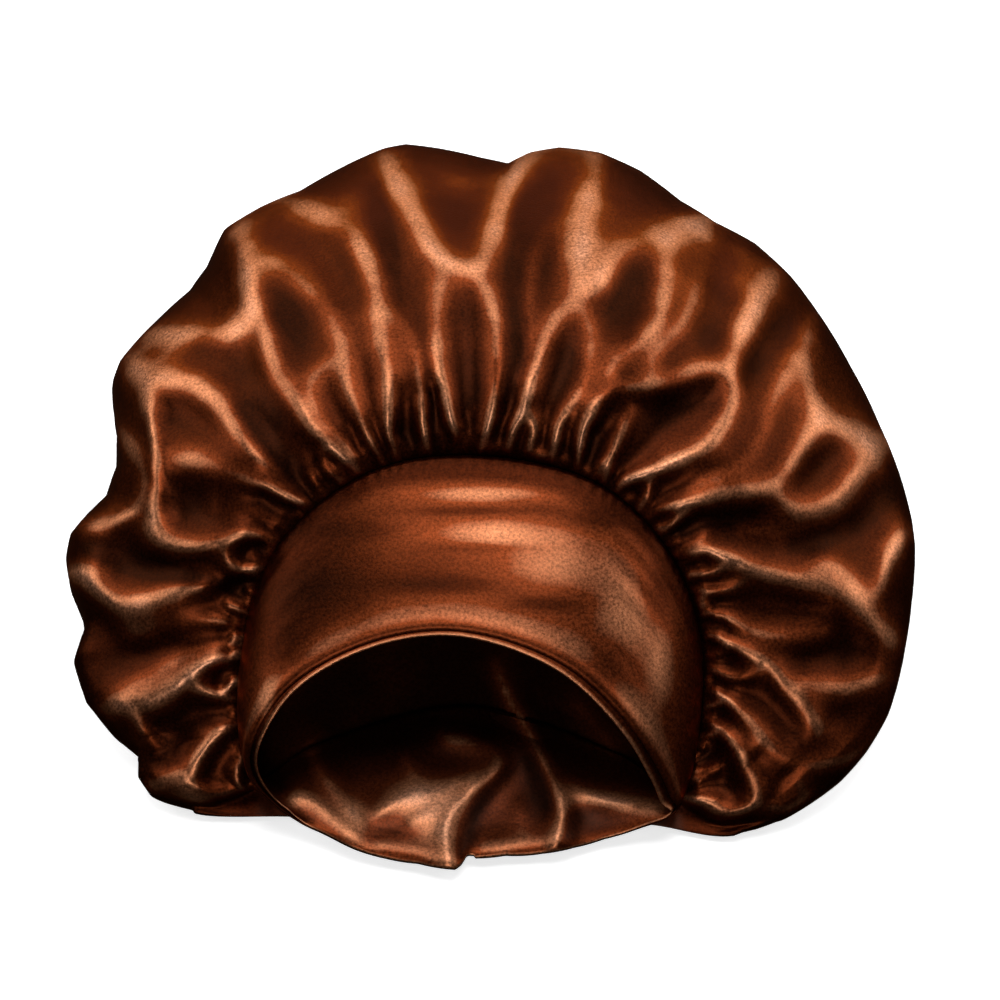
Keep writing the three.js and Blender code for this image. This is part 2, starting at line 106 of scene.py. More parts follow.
# Crest lines of the crown's folds, read from the photograph: height, then points as
# (angle, share of the way from seam to rim).
FOLDS = (
    (0.8, ((203.5, 0.3), (203, 0.6), (202, 0.86), (200, 0.74), (198.5, 0.63), (194, 0.47),
        (190.3, 0.28), (188.7, 0.05))),
    (0.6, ((203.5, 0.35), (200, 0.24), (197, 0.1))),
    (0.9, ((197, 1.1), (196.6, 0.85), (196.5, 0.6))),
    (0.7, ((190.5, 1.1), (189.5, 0.88), (187, 0.78), (184.5, 0.72))),
    (1.0, ((183.5, 1.1), (183.3, 0.75), (182.8, 0.6), (181.3, 0.48), (180, 0.4), (177, 0.3),
        (174.5, 0.2), (172.8, 0.02))),
    (0.8, ((179.6, 0.36), (181, 0.26), (181.5, 0.15), (179.5, 0.08), (177.5, 0.0))),
    (0.65, ((183, 0.87), (181.5, 0.8), (179.5, 0.67), (178, 0.55), (175.5, 0.45), (172, 0.25),
        (169.5, 0.03))),
    (0.7, ((171, 0.78), (170.8, 0.65), (169.5, 0.58), (167.5, 0.4), (166, 0.25), (165, 0.05))),
    (1.0, ((163.8, 1.15), (164.2, 0.94), (167, 0.77), (165.8, 0.6), (163.5, 0.47), (161, 0.35),
        (157.5, 0.18))),
    (0.7, ((163.8, 0.97), (162.5, 0.88), (161.8, 0.8))),
    (0.8, ((159.5, 1.1), (156.5, 0.89), (153.5, 0.83), (149.8, 0.8), (146.5, 0.85), (143.5, 1.0),
        (143, 1.1))),
    (1.0, ((135, 1.12), (136.8, 0.95), (138, 0.84), (141, 0.77), (146, 0.75), (152.5, 0.7), (155, 0.6),
        (153.8, 0.45), (150.5, 0.3), (146.5, 0.2), (143.5, 0.02))),
    (0.85, ((151, 0.31), (153.5, 0.2), (152.6, 0.1), (150, 0.01))),
    (0.85, ((145, 0.74), (142, 0.6), (140.5, 0.5), (138, 0.3), (134.5, 0.12), (132.5, 0.03))),
    (1.0, ((136.8, 0.93), (135, 0.8), (133, 0.72), (132.2, 0.62), (132.2, 0.52), (133.4, 0.37),
        (132.7, 0.2))),
    (0.85, ((136, 0.97), (133.5, 0.98), (130.5, 0.9), (126.5, 0.8), (124.5, 0.75), (121, 0.7))),
    (0.5, ((146.5, 0.45), (144, 0.32), (141.5, 0.2), (140.5, 0.05))),
    (0.5, ((126.5, 0.6), (127.5, 0.35), (126, 0.15))),
    (1.0, ((118, 1.12), (117.3, 0.92), (119.5, 0.8), (120.3, 0.66), (122, 0.54), (122.6, 0.38),
        (122, 0.22), (119.5, 0.08), (117.5, 0.01))),
    (0.7, ((122.2, 0.2), (124.4, 0.1), (122.5, 0.01))),
    (0.85, ((116.8, 0.9), (115.5, 0.8), (113.5, 0.71), (111.5, 0.58), (111.4, 0.45), (113, 0.32),
        (113.2, 0.15), (112, 0.01))),
    (0.8, ((112, 0.4), (115, 0.41), (117.8, 0.39), (119.5, 0.33), (119.6, 0.24), (118, 0.13),
        (116.5, 0.02))),
    (1.0, ((116.5, 0.97), (113.5, 1.0), (110.5, 0.95), (106.5, 0.83), (104.5, 0.7), (104, 0.58),
        (105, 0.45), (106, 0.28), (108.3, 0.13), (109.5, 0.01))),
    (0.9, ((103.6, 0.52), (101.5, 0.45), (100.2, 0.35), (100.6, 0.2), (101.8, 0.02))),
    (1.15, ((100.5, 1.15), (99.8, 0.94), (98.3, 0.83), (97, 0.75), (95.5, 0.66), (93.5, 0.62),
        (91.3, 0.61), (89.2, 0.63), (88, 0.72), (86.8, 0.85), (85.5, 0.93), (82.5, 1.0), (79, 1.03))),
    (1.0, ((94.5, 0.61), (95.6, 0.5), (96.4, 0.36), (96, 0.2), (94.3, 0.05))),
    (1.0, ((89.8, 0.6), (88, 0.54), (86.2, 0.42), (85.8, 0.27), (86.8, 0.12), (88.7, 0.01))),
    (0.5, ((91.5, 0.13), (90.2, 0.16), (89.2, 0.13), (90.8, 0.02))),
    (0.5, ((101, 0.9), (100.8, 0.7), (100.3, 0.55), (98.6, 0.4))),
    (1.0, ((77, 1.12), (76.8, 0.85), (76.5, 0.7), (75.7, 0.54), (77.8, 0.45), (79.3, 0.32), (80, 0.18),
        (83, 0.02))),
    (0.75, ((80.5, 0.16), (77.5, 0.12), (77.3, 0.02))),
    (0.9, ((75.4, 0.52), (72.5, 0.47), (70.9, 0.38), (70.5, 0.28), (72.2, 0.14), (71.2, 0.01))),
    (0.6, ((84, 0.62), (82.5, 0.58), (81, 0.42), (80.3, 0.3))),
    (1.15, ((62.5, 1.12), (63.5, 0.97), (66, 0.9), (68.8, 0.82), (71.5, 0.73), (72.8, 0.6), (74, 0.53))),
    (1.1, ((67.3, 0.88), (66, 0.8), (64.8, 0.7), (63, 0.6), (64.5, 0.54), (66.5, 0.4), (67.6, 0.3))),
    (1.05, ((62.5, 0.97), (62, 0.85), (60.8, 0.73), (60.3, 0.62), (61.5, 0.5), (60.5, 0.4))),
    (0.6, ((60.5, 0.98), (58.5, 0.95), (57, 0.88), (58, 0.8))),
    (1.0, ((54, 1.1), (53.9, 0.88), (53, 0.74), (51.3, 0.62), (48.5, 0.57), (46.6, 0.47), (46.2, 0.37),
        (47.8, 0.27), (50.5, 0.16), (53.5, 0.08), (54, 0.01))),
    (0.7, ((50, 0.15), (48.3, 0.09), (47.5, 0.01))),
    (1.1, ((51.5, 0.61), (54.5, 0.55), (57, 0.46), (60.3, 0.38), (63.8, 0.34), (66.5, 0.27),
        (66.6, 0.15), (65, 0.01))),
    (0.8, ((60.8, 0.33), (60, 0.2), (59.3, 0.1), (57.5, 0.01))),
    (0.45, ((51.5, 0.5), (51, 0.35), (52.5, 0.2))),
    (1.0, ((28.5, 1.1), (30, 0.98), (33, 0.91), (36.5, 0.82), (37.3, 0.74), (36, 0.65), (34.3, 0.54),
        (34.3, 0.46), (37.5, 0.32), (40, 0.2), (42.5, 0.13), (45, 0.02))),
    (0.75, ((48.5, 1.05), (46.5, 0.9), (43, 0.83), (39.5, 0.8), (37.5, 0.77))),
    (0.8, ((46, 0.86), (45, 0.75), (43.5, 0.65), (40.8, 0.54), (40, 0.43), (41, 0.33), (44, 0.16))),
    (0.75, ((40.3, 0.17), (39.6, 0.08), (41.5, 0.01))),
    (0.9, ((29.3, 0.98), (29, 0.85), (27.6, 0.7), (28, 0.58), (30.5, 0.51), (33.5, 0.51))),
    (0.55, ((27, 0.85), (25.5, 0.7), (26, 0.5), (28.5, 0.38), (31, 0.28))),
    (0.85, ((21, 1.12), (19.5, 0.95), (17, 0.87), (13.5, 0.85), (13, 0.77), (16, 0.7), (19, 0.62),
        (20, 0.5))),
    (1.0, ((4, 1.1), (6, 0.95), (8, 0.87), (10.5, 0.78), (13.5, 0.68), (16, 0.58), (17.8, 0.48),
        (20, 0.38), (23, 0.28), (27.5, 0.2), (31, 0.12), (32.7, 0.01))),
    (0.8, ((25.3, 0.23), (25.8, 0.12), (28.3, 0.01))),
    (0.7, ((21.5, 0.27), (21, 0.15), (23.5, 0.02))),
    (0.75, ((9, 0.66), (8.5, 0.52), (9.2, 0.4), (11, 0.26), (15, 0.14), (18.8, 0.01))),
    (0.8, ((1.5, 1.05), (1, 0.88), (-0.3, 0.75), (0.5, 0.6), (1.6, 0.45))),
    (0.95, ((-10.2, 0.72), (-7, 0.68), (-5, 0.6), (-2.5, 0.51), (0.8, 0.42), (4.2, 0.33), (7.2, 0.21),
        (10, 0.11), (14.2, 0.01))),
    (0.75, ((4.3, 0.31), (2.4, 0.25), (2.2, 0.14), (5, 0.01))),
    (0.6, ((8.5, 0.14), (7.8, 0.06), (8.2, 0.01))),
    (0.9, ((4, 1.02), (-1, 1.02), (-6, 1.0), (-10.2, 0.98), (-11.8, 0.9), (-13, 0.76), (-12.8, 0.6),
        (-10.5, 0.42), (-7, 0.29), (-4, 0.17), (-1.8, 0.1), (0, 0.01))),
    (0.7, ((-3.2, 0.13), (-5.2, 0.02))),
    (0.55, ((-9.2, 0.92), (-8, 0.8), (-6.8, 0.7))),
    (0.85, ((-15.5, 0.7), (-17, 0.86), (-19.8, 0.97), (-21.8, 0.88), (-22, 0.74))),
    (0.55, ((-19, 0.9), (-18.5, 0.75), (-17, 0.6), (-14.5, 0.42))),
    (0.95, ((-28.5, 0.01), (-27.2, 0.2), (-26.2, 0.38), (-27, 0.52), (-26.3, 0.66), (-24, 0.73),
        (-21.5, 0.67), (-19, 0.54), (-16, 0.4), (-12.5, 0.25), (-9.8, 0.13), (-7.5, 0.01))),
    (0.7, ((-10.5, 0.15), (-12.8, 0.02))),
    (0.6, ((-18.2, 0.28), (-20, 0.15), (-21.8, 0.01))),
)

# Three more ridges near the top, read in the photograph's pixels: height, then points.
SEEN_FOLDS = (
    (0.8, ((520, 187), (542, 165), (581, 159), (604, 172))),
    (0.7, ((600, 178), (574, 210), (536, 248), (530, 309), (536, 347))),
    (0.6, ((711, 232), (686, 315), (651, 369))),
)

# Crest lines inside the mouth, on the slack lip and on the crown's lower cloth behind it: height,
# then points in the photograph's pixels.
MOUTH_FOLDS = (
    (1.1, ((499, 753), (497, 769), (468, 794), (449, 819), (446, 838), (449, 856), (455, 868))),
    (0.7, ((502, 756), (477, 744), (449, 737), (436, 731))),
    (1.0, ((486, 772), (455, 784), (424, 791), (392, 803), (371, 819))),
    (0.9, ((461, 791), (433, 812), (405, 825))),
    (0.6, ((402, 753), (414, 775), (430, 788))),
    (0.8, ((308, 737), (317, 766), (339, 794), (358, 819), (367, 831))),
    (0.9, ((290, 804), (296, 794), (311, 800), (333, 819), (367, 846))),
    (0.8, ((367, 846), (392, 845), (418, 850), (442, 861), (455, 867))),
    (1.2, ((494, 664), (511, 703), (530, 734), (546, 766), (558, 794), (563, 812), (557, 838), (549, 845))),
    (0.9, ((563, 781), (589, 794), (621, 803), (664, 808))),
    (0.5, ((518, 803), (521, 825), (530, 837))),
    (0.7, ((471, 848), (505, 845), (530, 840), (546, 842))),
    (0.4, ((290, 700), (300, 670), (345, 650))),
    (0.4, ((570, 700), (600, 730), (620, 765))),
)
# Creases inside the mouth, as painted shade only: they darken the tone and do not shape the cloth. Height,
# then points in the photograph's pixels.
MOUTH_CREASES = (
    (1.1, ((511, 765), (490, 787), (475, 815), (468, 840), (462, 862))),
    (1.0, ((522, 750), (537, 785), (549, 815))),
    (0.8, ((572, 812), (570, 835), (560, 848))),
    (0.8, ((262, 745), (276, 786), (288, 786))),
    (0.6, ((420, 720), (455, 725), (500, 735))),
)
# Painted light and shade there: soft light and dark patches, strength, then pixels across and down, then
# their spreads.
MOUTH_PATCHES = (
    (0.3, 425, 805, 32, 16), (0.3, 436, 832, 20, 14), (0.25, 355, 812, 14, 14), (0.2, 415, 788, 44, 12),
    (0.2, 600, 800, 30, 8), (0.25, 457, 740, 18, 8), (-0.35, 540, 790, 16, 26), (-0.3, 380, 735, 40, 26),
    (-0.3, 590, 818, 20, 10), (0.15, 606, 742, 26, 14),
)
# The same for the smooth upper part of the band: its painted highlight, and painted shade along the darker
# lengthwise folds.
BAND_PATCHES = (
    (0.36, 480, 494, 74, 10), (0.32, 490, 532, 86, 17), (0.26, 552, 566, 66, 28), (0.38, 622, 622, 36, 50),
    (0.3, 662, 672, 17, 50), (-0.16, 470, 511, 70, 4), (-0.24, 318, 588, 62, 34), (-0.18, 285, 650, 26, 50),
    (-0.24, 430, 584, 62, 8), (-0.2, 545, 604, 42, 8), (-0.24, 606, 668, 22, 30), (-0.2, 350, 530, 60, 12),
    (-0.14, 475, 548, 50, 4), (-0.2, 600, 520, 40, 10), (-0.16, 660, 590, 14, 34), (0.2, 268, 700, 10, 40),
)
# The lower outline of the lip in the photograph, in its pixels.
SEEN_LIP = (
    (240, 770), (252, 792), (271, 809), (292, 820), (324, 834), (355, 850), (386, 859), (418, 864),
    (455, 870), (461, 866), (467, 856), (505, 856), (542, 854), (574, 848), (605, 839), (636, 830),
    (661, 816), (674, 800), (684, 770),
)

# Painted light and shade: soft light and dark patches of the cloth between the crest lines, where
# the satin catches the light or lies in a hollow: strength, then angle and share of the middle, then their
# spreads.
PATCHES = (
    (0.35, 76.3, 0.68, 4.5, 0.12), (0.35, 92.1, 0.9, 2.6, 0.045), (0.3, 103.4, 0.72, 2.2, 0.12),
    (0.4, 123.0, 0.74, 4.0, 0.07), (0.35, 103.4, 0.86, 3.0, 0.06), (0.3, 141.7, 0.87, 3.0, 0.1),
    (0.25, 53.5, 0.8, 1.8, 0.1), (0.25, 39.1, 0.8, 2.2, 0.1), (0.3, 131.0, 0.86, 3.0, 0.06),
    (-0.4, 82.4, 0.8, 2.0, 0.14), (-0.45, 100.9, 0.72, 1.0, 0.2), (-0.4, 68.8, 0.66, 2.6, 0.13),
    (-0.15, 91.7, 0.72, 2.5, 0.08), (-0.15, 91.0, 0.47, 2.0, 0.07), (-0.4, 91.0, 0.23, 2.0, 0.1),
    (-0.4, 74.4, 0.32, 1.6, 0.12), (-0.4, 80.4, 0.62, 1.2, 0.14), (-0.35, 55.8, 0.42, 3.2, 0.1),
    (-0.45, 49.3, 0.78, 1.6, 0.2), (-0.35, 106.5, 0.73, 1.6, 0.13), (-0.4, 116.8, 0.66, 2.4, 0.12),
    (-0.4, 129.5, 0.8, 3.0, 0.07), (-0.4, 127.0, 0.42, 3.0, 0.12), (-0.35, 62.0, 0.66, 1.2, 0.1),
    (-0.35, 62.3, 0.85, 1.5, 0.09), (-0.3, 66.0, 0.5, 1.4, 0.07), (-0.35, 55.9, 0.65, 1.8, 0.07),
    (-0.35, 85.5, 0.3, 1.2, 0.14), (-0.4, 98.5, 0.25, 1.0, 0.14), (-0.35, 64.5, 0.3, 2.0, 0.1),
)

# Sharp valleys between folds, as painted shade only: these lines darken the tone and do not shape the cloth.
CREASES = (
    (0.7, ((160.5, 0.95), (160.2, 0.8), (160.1, 0.6), (159.3, 0.4), (158, 0.22), (156.5, 0.08))),
    (0.5, ((101.9, 0.92), (101.9, 0.75), (101.6, 0.6))),
    (0.6, ((84.2, 0.86), (84.4, 0.7), (84.3, 0.5), (83, 0.3), (84.2, 0.14))),
    (0.5, ((31.5, 0.42), (33.5, 0.3), (36.5, 0.18), (38, 0.06))),
    (0.5, ((25.5, 0.95), (24, 0.8), (23, 0.6), (24.5, 0.45))),
    (0.5, ((130, 0.55), (130.5, 0.35), (130, 0.15))),
    (0.4, ((187.5, 0.55), (187, 0.3), (186, 0.1))),
)

# The middle of the front, and how far from it, in degrees, the gathering begins.
FRONT_ANGLE = -90.0
GATHER_FROM = 58.0
GATHER_OVER = 22.0


def wrap(angle):
    return np.mod(angle, 360.0)


def turn_between(a, b):
    return np.mod(a - b + 180.0, 360.0) - 180.0


def smooth(t):
    t = np.clip(t, 0.0, 1.0)
    return t * t * (3.0 - 2.0 * t)


def ramp(value, start, over):
    """0 before start, 1 once past it by over, smooth between."""
    return smooth((value - start) / over)


def mix(a, b, t):
    return a + (b - a) * t


def unit(v):
    return v / np.maximum(np.linalg.norm(v, axis=-1, keepdims=True), 1e-9)


def from_front(angle):
    return np.abs(turn_between(angle, FRONT_ANGLE))


def gather_share(angle):
    """How much of the gathering is there: none under the lip in front."""
    return smooth((from_front(angle) - GATHER_FROM) / GATHER_OVER)


def section_table():
    scale = np.array([HALF_WIDTH, DEPTH, CREST])
    rows = []
    for angle, seam, edge, rim, rise, lean, fall, tuck in SECTIONS:
        points = [np.array(p) * scale for p in (seam, edge, rim)]
        rows.append(np.concatenate([[angle], *points, [rise * CREST, lean, fall * CREST, tuck * CREST]]))
    return np.array(rows)


TABLE = section_table()


def ring_values(angle):
    """Every column of the section table at these angles, smoothly joined round the ring."""
    angle = np.atleast_1d(np.asarray(angle, float))
    first = TABLE[0, 0]
    stations = wrap(TABLE[:, 0] - first)
    a = wrap(angle - first)
    count = len(stations)
    i = np.searchsorted(stations, a, side="right") - 1

    def row(k):
        return TABLE[(i + k) % count, 1:]

    def gap(k):
        return wrap(stations[(i + k + 1) % count] - stations[(i + k) % count])[:, None]

    def slope(before, here, after, gap_before, gap_after):
        left = (here - before) / gap_before
        right = (after - here) / gap_after
        return (left * gap_after + right * gap_before) / (gap_before + gap_after)

    t = (a - stations[i])[:, None] / gap(0)
    start = slope(row(-1), row(0), row(1), gap(-1), gap(0)) * gap(0)
    end = slope(row(0), row(1), row(2), gap(0), gap(1)) * gap(0)
    t2 = t * t
    t3 = t2 * t
    leaving = (2 * t3 - 3 * t2 + 1) * row(0) + (t3 - 2 * t2 + t) * start
    return leaving + (3 * t2 - 2 * t3) * row(1) + (t3 - t2) * end


def band_frame(angle):
    """Seam, edge, direction across the band towards the seam, and outward normal."""
    values = ring_values(angle)
    seam = values[:, 0:3]
    edge = values[:, 3:6]
    along = ring_values(np.asarray(angle) + 2.0)[:, 0:3] - ring_values(np.asarray(angle) - 2.0)[:, 0:3]
    across = seam - edge
    return seam, edge, unit(across), unit(np.cross(across, along))


def crown_keys(angle):
    values = ring_values(angle)
    seam, _, across, normal = band_frame(angle)
    gathered = gather_share(angle)[:, None]
    lapped = seam + normal * ((BAND_CLOTH + CROWN_CLOTH) / 2 + SEAM_GAP)
    butted = seam + across * 1.3 - normal * 0.4
    start = mix(lapped, butted, gathered)
    rim = values[:, 6:9]
    to_rim = rim - lapped
    to_rim[:, 2] = 0.0
    to_rim = unit(to_rim)
    lean = np.clip(values[:, 10:11], 0.0, 1.0)
    leave = unit(normal * lean + to_rim * (1.0 - lean))
    first = lapped + leave * values[:, 9:10]
    last = rim + np.array([0.0, 0.0, 1.0]) * values[:, 11:12]
    return start, first, last, rim, to_rim, values[:, 12]


def crown_surface(angles, shares, turns, floors, reach_out):
    """Columns of the crown's bare surface: seam to rim, round under, and along the floor.

    reach_out says how far each column's rim stands out from the sections, in millimetres.
    """
    start, first, last, rim, to_rim, tuck = crown_keys(angles)
    t = shares[None, :, None]
    q = 1.0 - t
    scallop = reach_out[:, None, None]
    upper = (
        start[:, None] * q**3
        + first[:, None] * (3 * q * q * t)
        + last[:, None] * (3 * q * t * t)
        + rim[:, None] * t**3
        + to_rim[:, None] * scallop * smooth(t)
    )
    swing = np.radians(90.0 * turns)[None, :, None]
    low = CROWN_CLOTH / 2
    under = (
        rim[:, None]
        + to_rim[:, None] * (scallop * (1 - turns[None, :, None]) - tuck[:, None, None] * (1 - np.cos(swing)))
    )
    under = under.copy()
    under[:, :, 2] = rim[:, None, 2] - (rim[:, None, 2] - low) * np.sin(swing[:, :, 0])
    landed = under[:, -1:]
    pole = np.array([0.0, POLE_BACK * DEPTH, low])
    floor = mix(landed, pole[None, None, :], floors[None, :, None])
    return np.concatenate([upper, under, floor], axis=1)


# Fold relief. The crest lines are pinned high on a lattice laid over the gathered part, and the
# cloth between them is let down like a hanging sheet. The same lattice holds painted light and
# shade: painted highlights along the crests, painted shade in the hollows and along the creases.
CROWN_SPAN = (-46.0, 226.0, 0.4)
CROWN_ROWS = 150
SEEN_LENGTH = (74.0, 128.0)
SEEN_RING = 95.0
SEEN_RIM = 200.0
CROWN_TOP = 1.14
CROWN_SAG = (1.7, 10.5)
SAG_FULL_AT = 0.38
WIDENED_AT = 0.5
# The mouth is drawn in the photograph's pixels, one column for two pixels.
MOUTH_ACROSS = (230.0, 700.0)
MOUTH_DOWN = (610.0, 880.0)
MOUTH_ROWS = 136
MOUTH_SAG = 7.0
MOUTH_CELL_MM = 0.9
RELAX_PASSES = 320
FINE_ROUNDING = 6
BROAD_ROUNDING = 26
# The painted light and shade of the folds: how wide the surroundings are that a crest stands above, the thin
# and wide strokes of painted highlight along the crest lines, and the painted shade along the creases.
WIDE_ROUNDING = 120
THIN_STROKE = 4
WIDE_STROKE = 10
# Makes the middle of a blurred one-cell line as high as the line was.
STROKE_LEVEL = math.pi**0.5
STROKE_SHARE = 0.12
CREASE_SHADE = 2.5
CREASE_ROUNDING = 14
SEED = 11


def spline_points(points, per_span=24):
    """A smooth line through given points."""
    p = np.array(points, float)
    p = np.vstack([2 * p[0] - p[1], p, 2 * p[-1] - p[-2]])
    out = []
    for i in range(1, len(p) - 2):
        t = np.linspace(0.0, 1.0, per_span, endpoint=False)[:, None]
        a, b, c, d = p[i - 1], p[i], p[i + 1], p[i + 2]
        square = (2 * a - 5 * b + 4 * c - d) * t**2
        out.append(0.5 * (2 * b + (c - a) * t + square + (3 * b - a - 3 * c + d) * t**3))
    out.append(p[-2][None, :])
    return np.vstack(out)


def seam_pleats():
    """Short crest lines where the cloth is gathered into the seam, each a little different."""
    rng = np.random.default_rng(SEED)
    lines = []
    angle = -29.0
    while angle < 207.0:
        length = rng.uniform(0.03, 0.13) if rng.random() < 0.75 else rng.uniform(0.12, 0.22)
        drift = rng.uniform(-1.0, 1.0)
        height = rng.uniform(0.35, 0.75)
        lines.append((height, ((angle, -0.03), (angle + drift * 0.5, length * 0.5), (angle + drift, length))))
        angle += rng.uniform(1.5, 3.3)
    return lines


def seen_folds():
    """The ridges that were read in the photograph's pixels, in the drawing's angle and share."""
    lines = []
    for height, line in SEEN_FOLDS:
        angle, radius = drawn_from_centre(*np.array(line, float).T)
        inner = traced(SEEN_SEAM, angle)
        share = (radius - inner) / (traced(SEEN_OUTLINE, angle) - inner)
        lines.append((height, tuple(zip(angle, share))))
    return lines


def crown_cells():
    """Millimetres between the lattice's columns, for each row, and between its rows, for each column."""
    low_angle, high_angle, step = CROWN_SPAN
    lattice_angles = np.radians(np.arange(low_angle, high_angle + step / 2, step))
    shares = np.linspace(0.0, CROWN_TOP, CROWN_ROWS)
    lengths = mix(SEEN_LENGTH[0], SEEN_LENGTH[1], np.clip(np.sin(lattice_angles), 0.0, 1.0))
    return np.radians(step) * mix(SEEN_RING, SEEN_RIM, shares), lengths * shares[1]


def relief_lattice(folds, creases, span, rows, top, cells, sag, widening):
    """Height of the cloth from 0 in the hollows to 1 on the crests, over angle and share, and its
    painted light and shade: painted highlights along the crests, painted shade in the hollows
    and along the creases.

    widening says, for each row, how far the narrow ridges by the seam give way to broad ones.
    """
    low_angle, high_angle, step = span
    columns = int(round((high_angle - low_angle) / step)) + 1
    shares = np.linspace(0.0, top, rows)
    column_mm, row_mm = cells
    widening = widening[None, :]

    def drawn(lines, ends):
        level = np.zeros((columns, rows))
        for height, line in lines:
            points = spline_points(line)
            along = np.linspace(0.0, 1.0, len(points))
            fade = np.clip(np.minimum(along, 1.0 - along) / 0.12, 0.0, 1.0)
            levels = height * mix(ends, 1.0, smooth(fade))
            x = (points[:, 0] - low_angle) / step
            y = points[:, 1] / (shares[1] - shares[0])
            for i in range(len(points) - 1):
                steps = int(max(abs(x[i + 1] - x[i]), abs(y[i + 1] - y[i])) * 1.5) + 1
                part = np.linspace(0.0, 1.0, steps, endpoint=False)
                cx = np.round(mix(x[i], x[i + 1], part)).astype(int)
                cy = np.round(mix(y[i], y[i + 1], part)).astype(int)
                inside = (cx >= 0) & (cx < columns) & (cy >= 0) & (cy < rows)
                np.maximum.at(level, (cx[inside], cy[inside]), levels[i])
        return level

    level = drawn(folds, 0.6)
    # Painted shade along the creases; they do not shape the cloth.
    shade = blurred_times(drawn(creases, 0.4), CREASE_ROUNDING)
    held = level > 0.0
    wx = (1.0 / column_mm**2)[None, :]
    wy = (1.0 / row_mm**2)[:, None]
    pull = (1.0 / sag**2)[None, :]
    height = level.copy()
    for _ in range(RELAX_PASSES):
        left = np.vstack([height[:1], height[:-1]])
        right = np.vstack([height[1:], height[-1:]])
        down = np.hstack([height[:, :1], height[:, :-1]])
        up = np.hstack([height[:, 1:], height[:, -1:]])
        free = (wx * (left + right) + wy * (down + up)) / (2 * wx + 2 * wy + pull)
        height = np.where(held, level, free)
    fine = blurred_times(height, FINE_ROUNDING)
    broad = blurred_times(fine, BROAD_ROUNDING)
    rounded = mix(fine, broad, widening)
    # Painted highlight along the crest lines, thin by the seam and wide further out.
    thin = blurred_times(level, THIN_STROKE)
    wide = blurred_times(thin, WIDE_STROKE)
    painted_highlight = mix(thin * THIN_STROKE**0.5, wide * (THIN_STROKE + WIDE_STROKE) ** 0.5, widening) * STROKE_LEVEL
    # Painted light and shade: lighter where the cloth stands above its wide surroundings and along the crest
    # lines, painted shade in the hollows and along the creases.
    painted_shading = rounded - blurred_times(rounded, WIDE_ROUNDING) - CREASE_SHADE * shade + STROKE_SHARE * painted_highlight
    return rounded, painted_shading


def blurred_times(grid, times):
    for _ in range(times):
        grid = blurred(grid)
    return grid


def blurred(grid):
    for axis in (0, 1):
        before = np.roll(grid, 1, axis)
        after = np.roll(grid, -1, axis)
        if axis == 0:
            before[0], after[-1] = grid[0], grid[-1]
        else:
            before[:, 0], after[:, -1] = grid[:, 0], grid[:, -1]
        grid = 0.25 * before + 0.5 * grid + 0.25 * after
    return grid


def sample_lattice(height, span, top, angle, share):
    """The lattice height at these angles and shares, by straight mixing of its four neighbours."""
    low_angle, high_angle, step = span
    turn = wrap(angle - low_angle)
    x = np.where(turn > high_angle - low_angle, 0.0, turn / step)
    x = np.clip(x, 0, height.shape[0] - 1.001)
    y = np.clip(share / top * (height.shape[1] - 1), 0, height.shape[1] - 1.001)
    i, j = x.astype(int), y.astype(int)
    fx, fy = x - i, y - j
    return (
        height[i, j] * (1 - fx) * (1 - fy)
        + height[i + 1, j] * fx * (1 - fy)
        + height[i, j + 1] * (1 - fx) * fy
        + height[i + 1, j + 1] * fx * fy
    )


FOLD_RISE = 15.0
GATHERED_COLUMNS = 540
FRONT_COLUMNS = 100
UPPER_ROWS = 112
TURN_ROWS = 12
FLOOR_ROWS = 24
FRONT_FROM = -152.0
FRONT_TO = -28.0


def crown_angles():
    gathered = np.linspace(FRONT_TO, FRONT_FROM + 360.0, GATHERED_COLUMNS, endpoint=False)
    front = np.linspace(FRONT_FROM, FRONT_TO, FRONT_COLUMNS, endpoint=False) + 360.0
    return np.concatenate([gathered, front])


def grid_normals(grid):
    along = np.roll(grid, -1, 0) - np.roll(grid, 1, 0)
    down = np.empty_like(grid)
    down[:, 1:-1] = grid[:, 2:] - grid[:, :-2]
    down[:, 0] = grid[:, 1] - grid[:, 0]
    down[:, -1] = grid[:, -1] - grid[:, -2]
    return unit(np.cross(down, along))


# How high the folds stand, as a share of FOLD_RISE, by the share of the way from seam to rim.
RISE_BY_SHARE = (
    (0.0, 0.1), (0.03, 0.4), (0.08, 0.7), (0.2, 0.95), (0.4, 1.1), (0.62, 1.1), (0.78, 0.9), (0.9, 0.6),
    (1.1, 0.3),
)
# How much of the rise is taken off all over, so that crests and hollows lie about the sections.
FOLD_SINK = ((0.0, 0.0), (0.4, 0.1), (0.7, 0.22), (1.1, 0.22))


def fold_rise(share):
    return FOLD_RISE * np.interp(share, [r[0] for r in RISE_BY_SHARE], [r[1] for r in RISE_BY_SHARE])


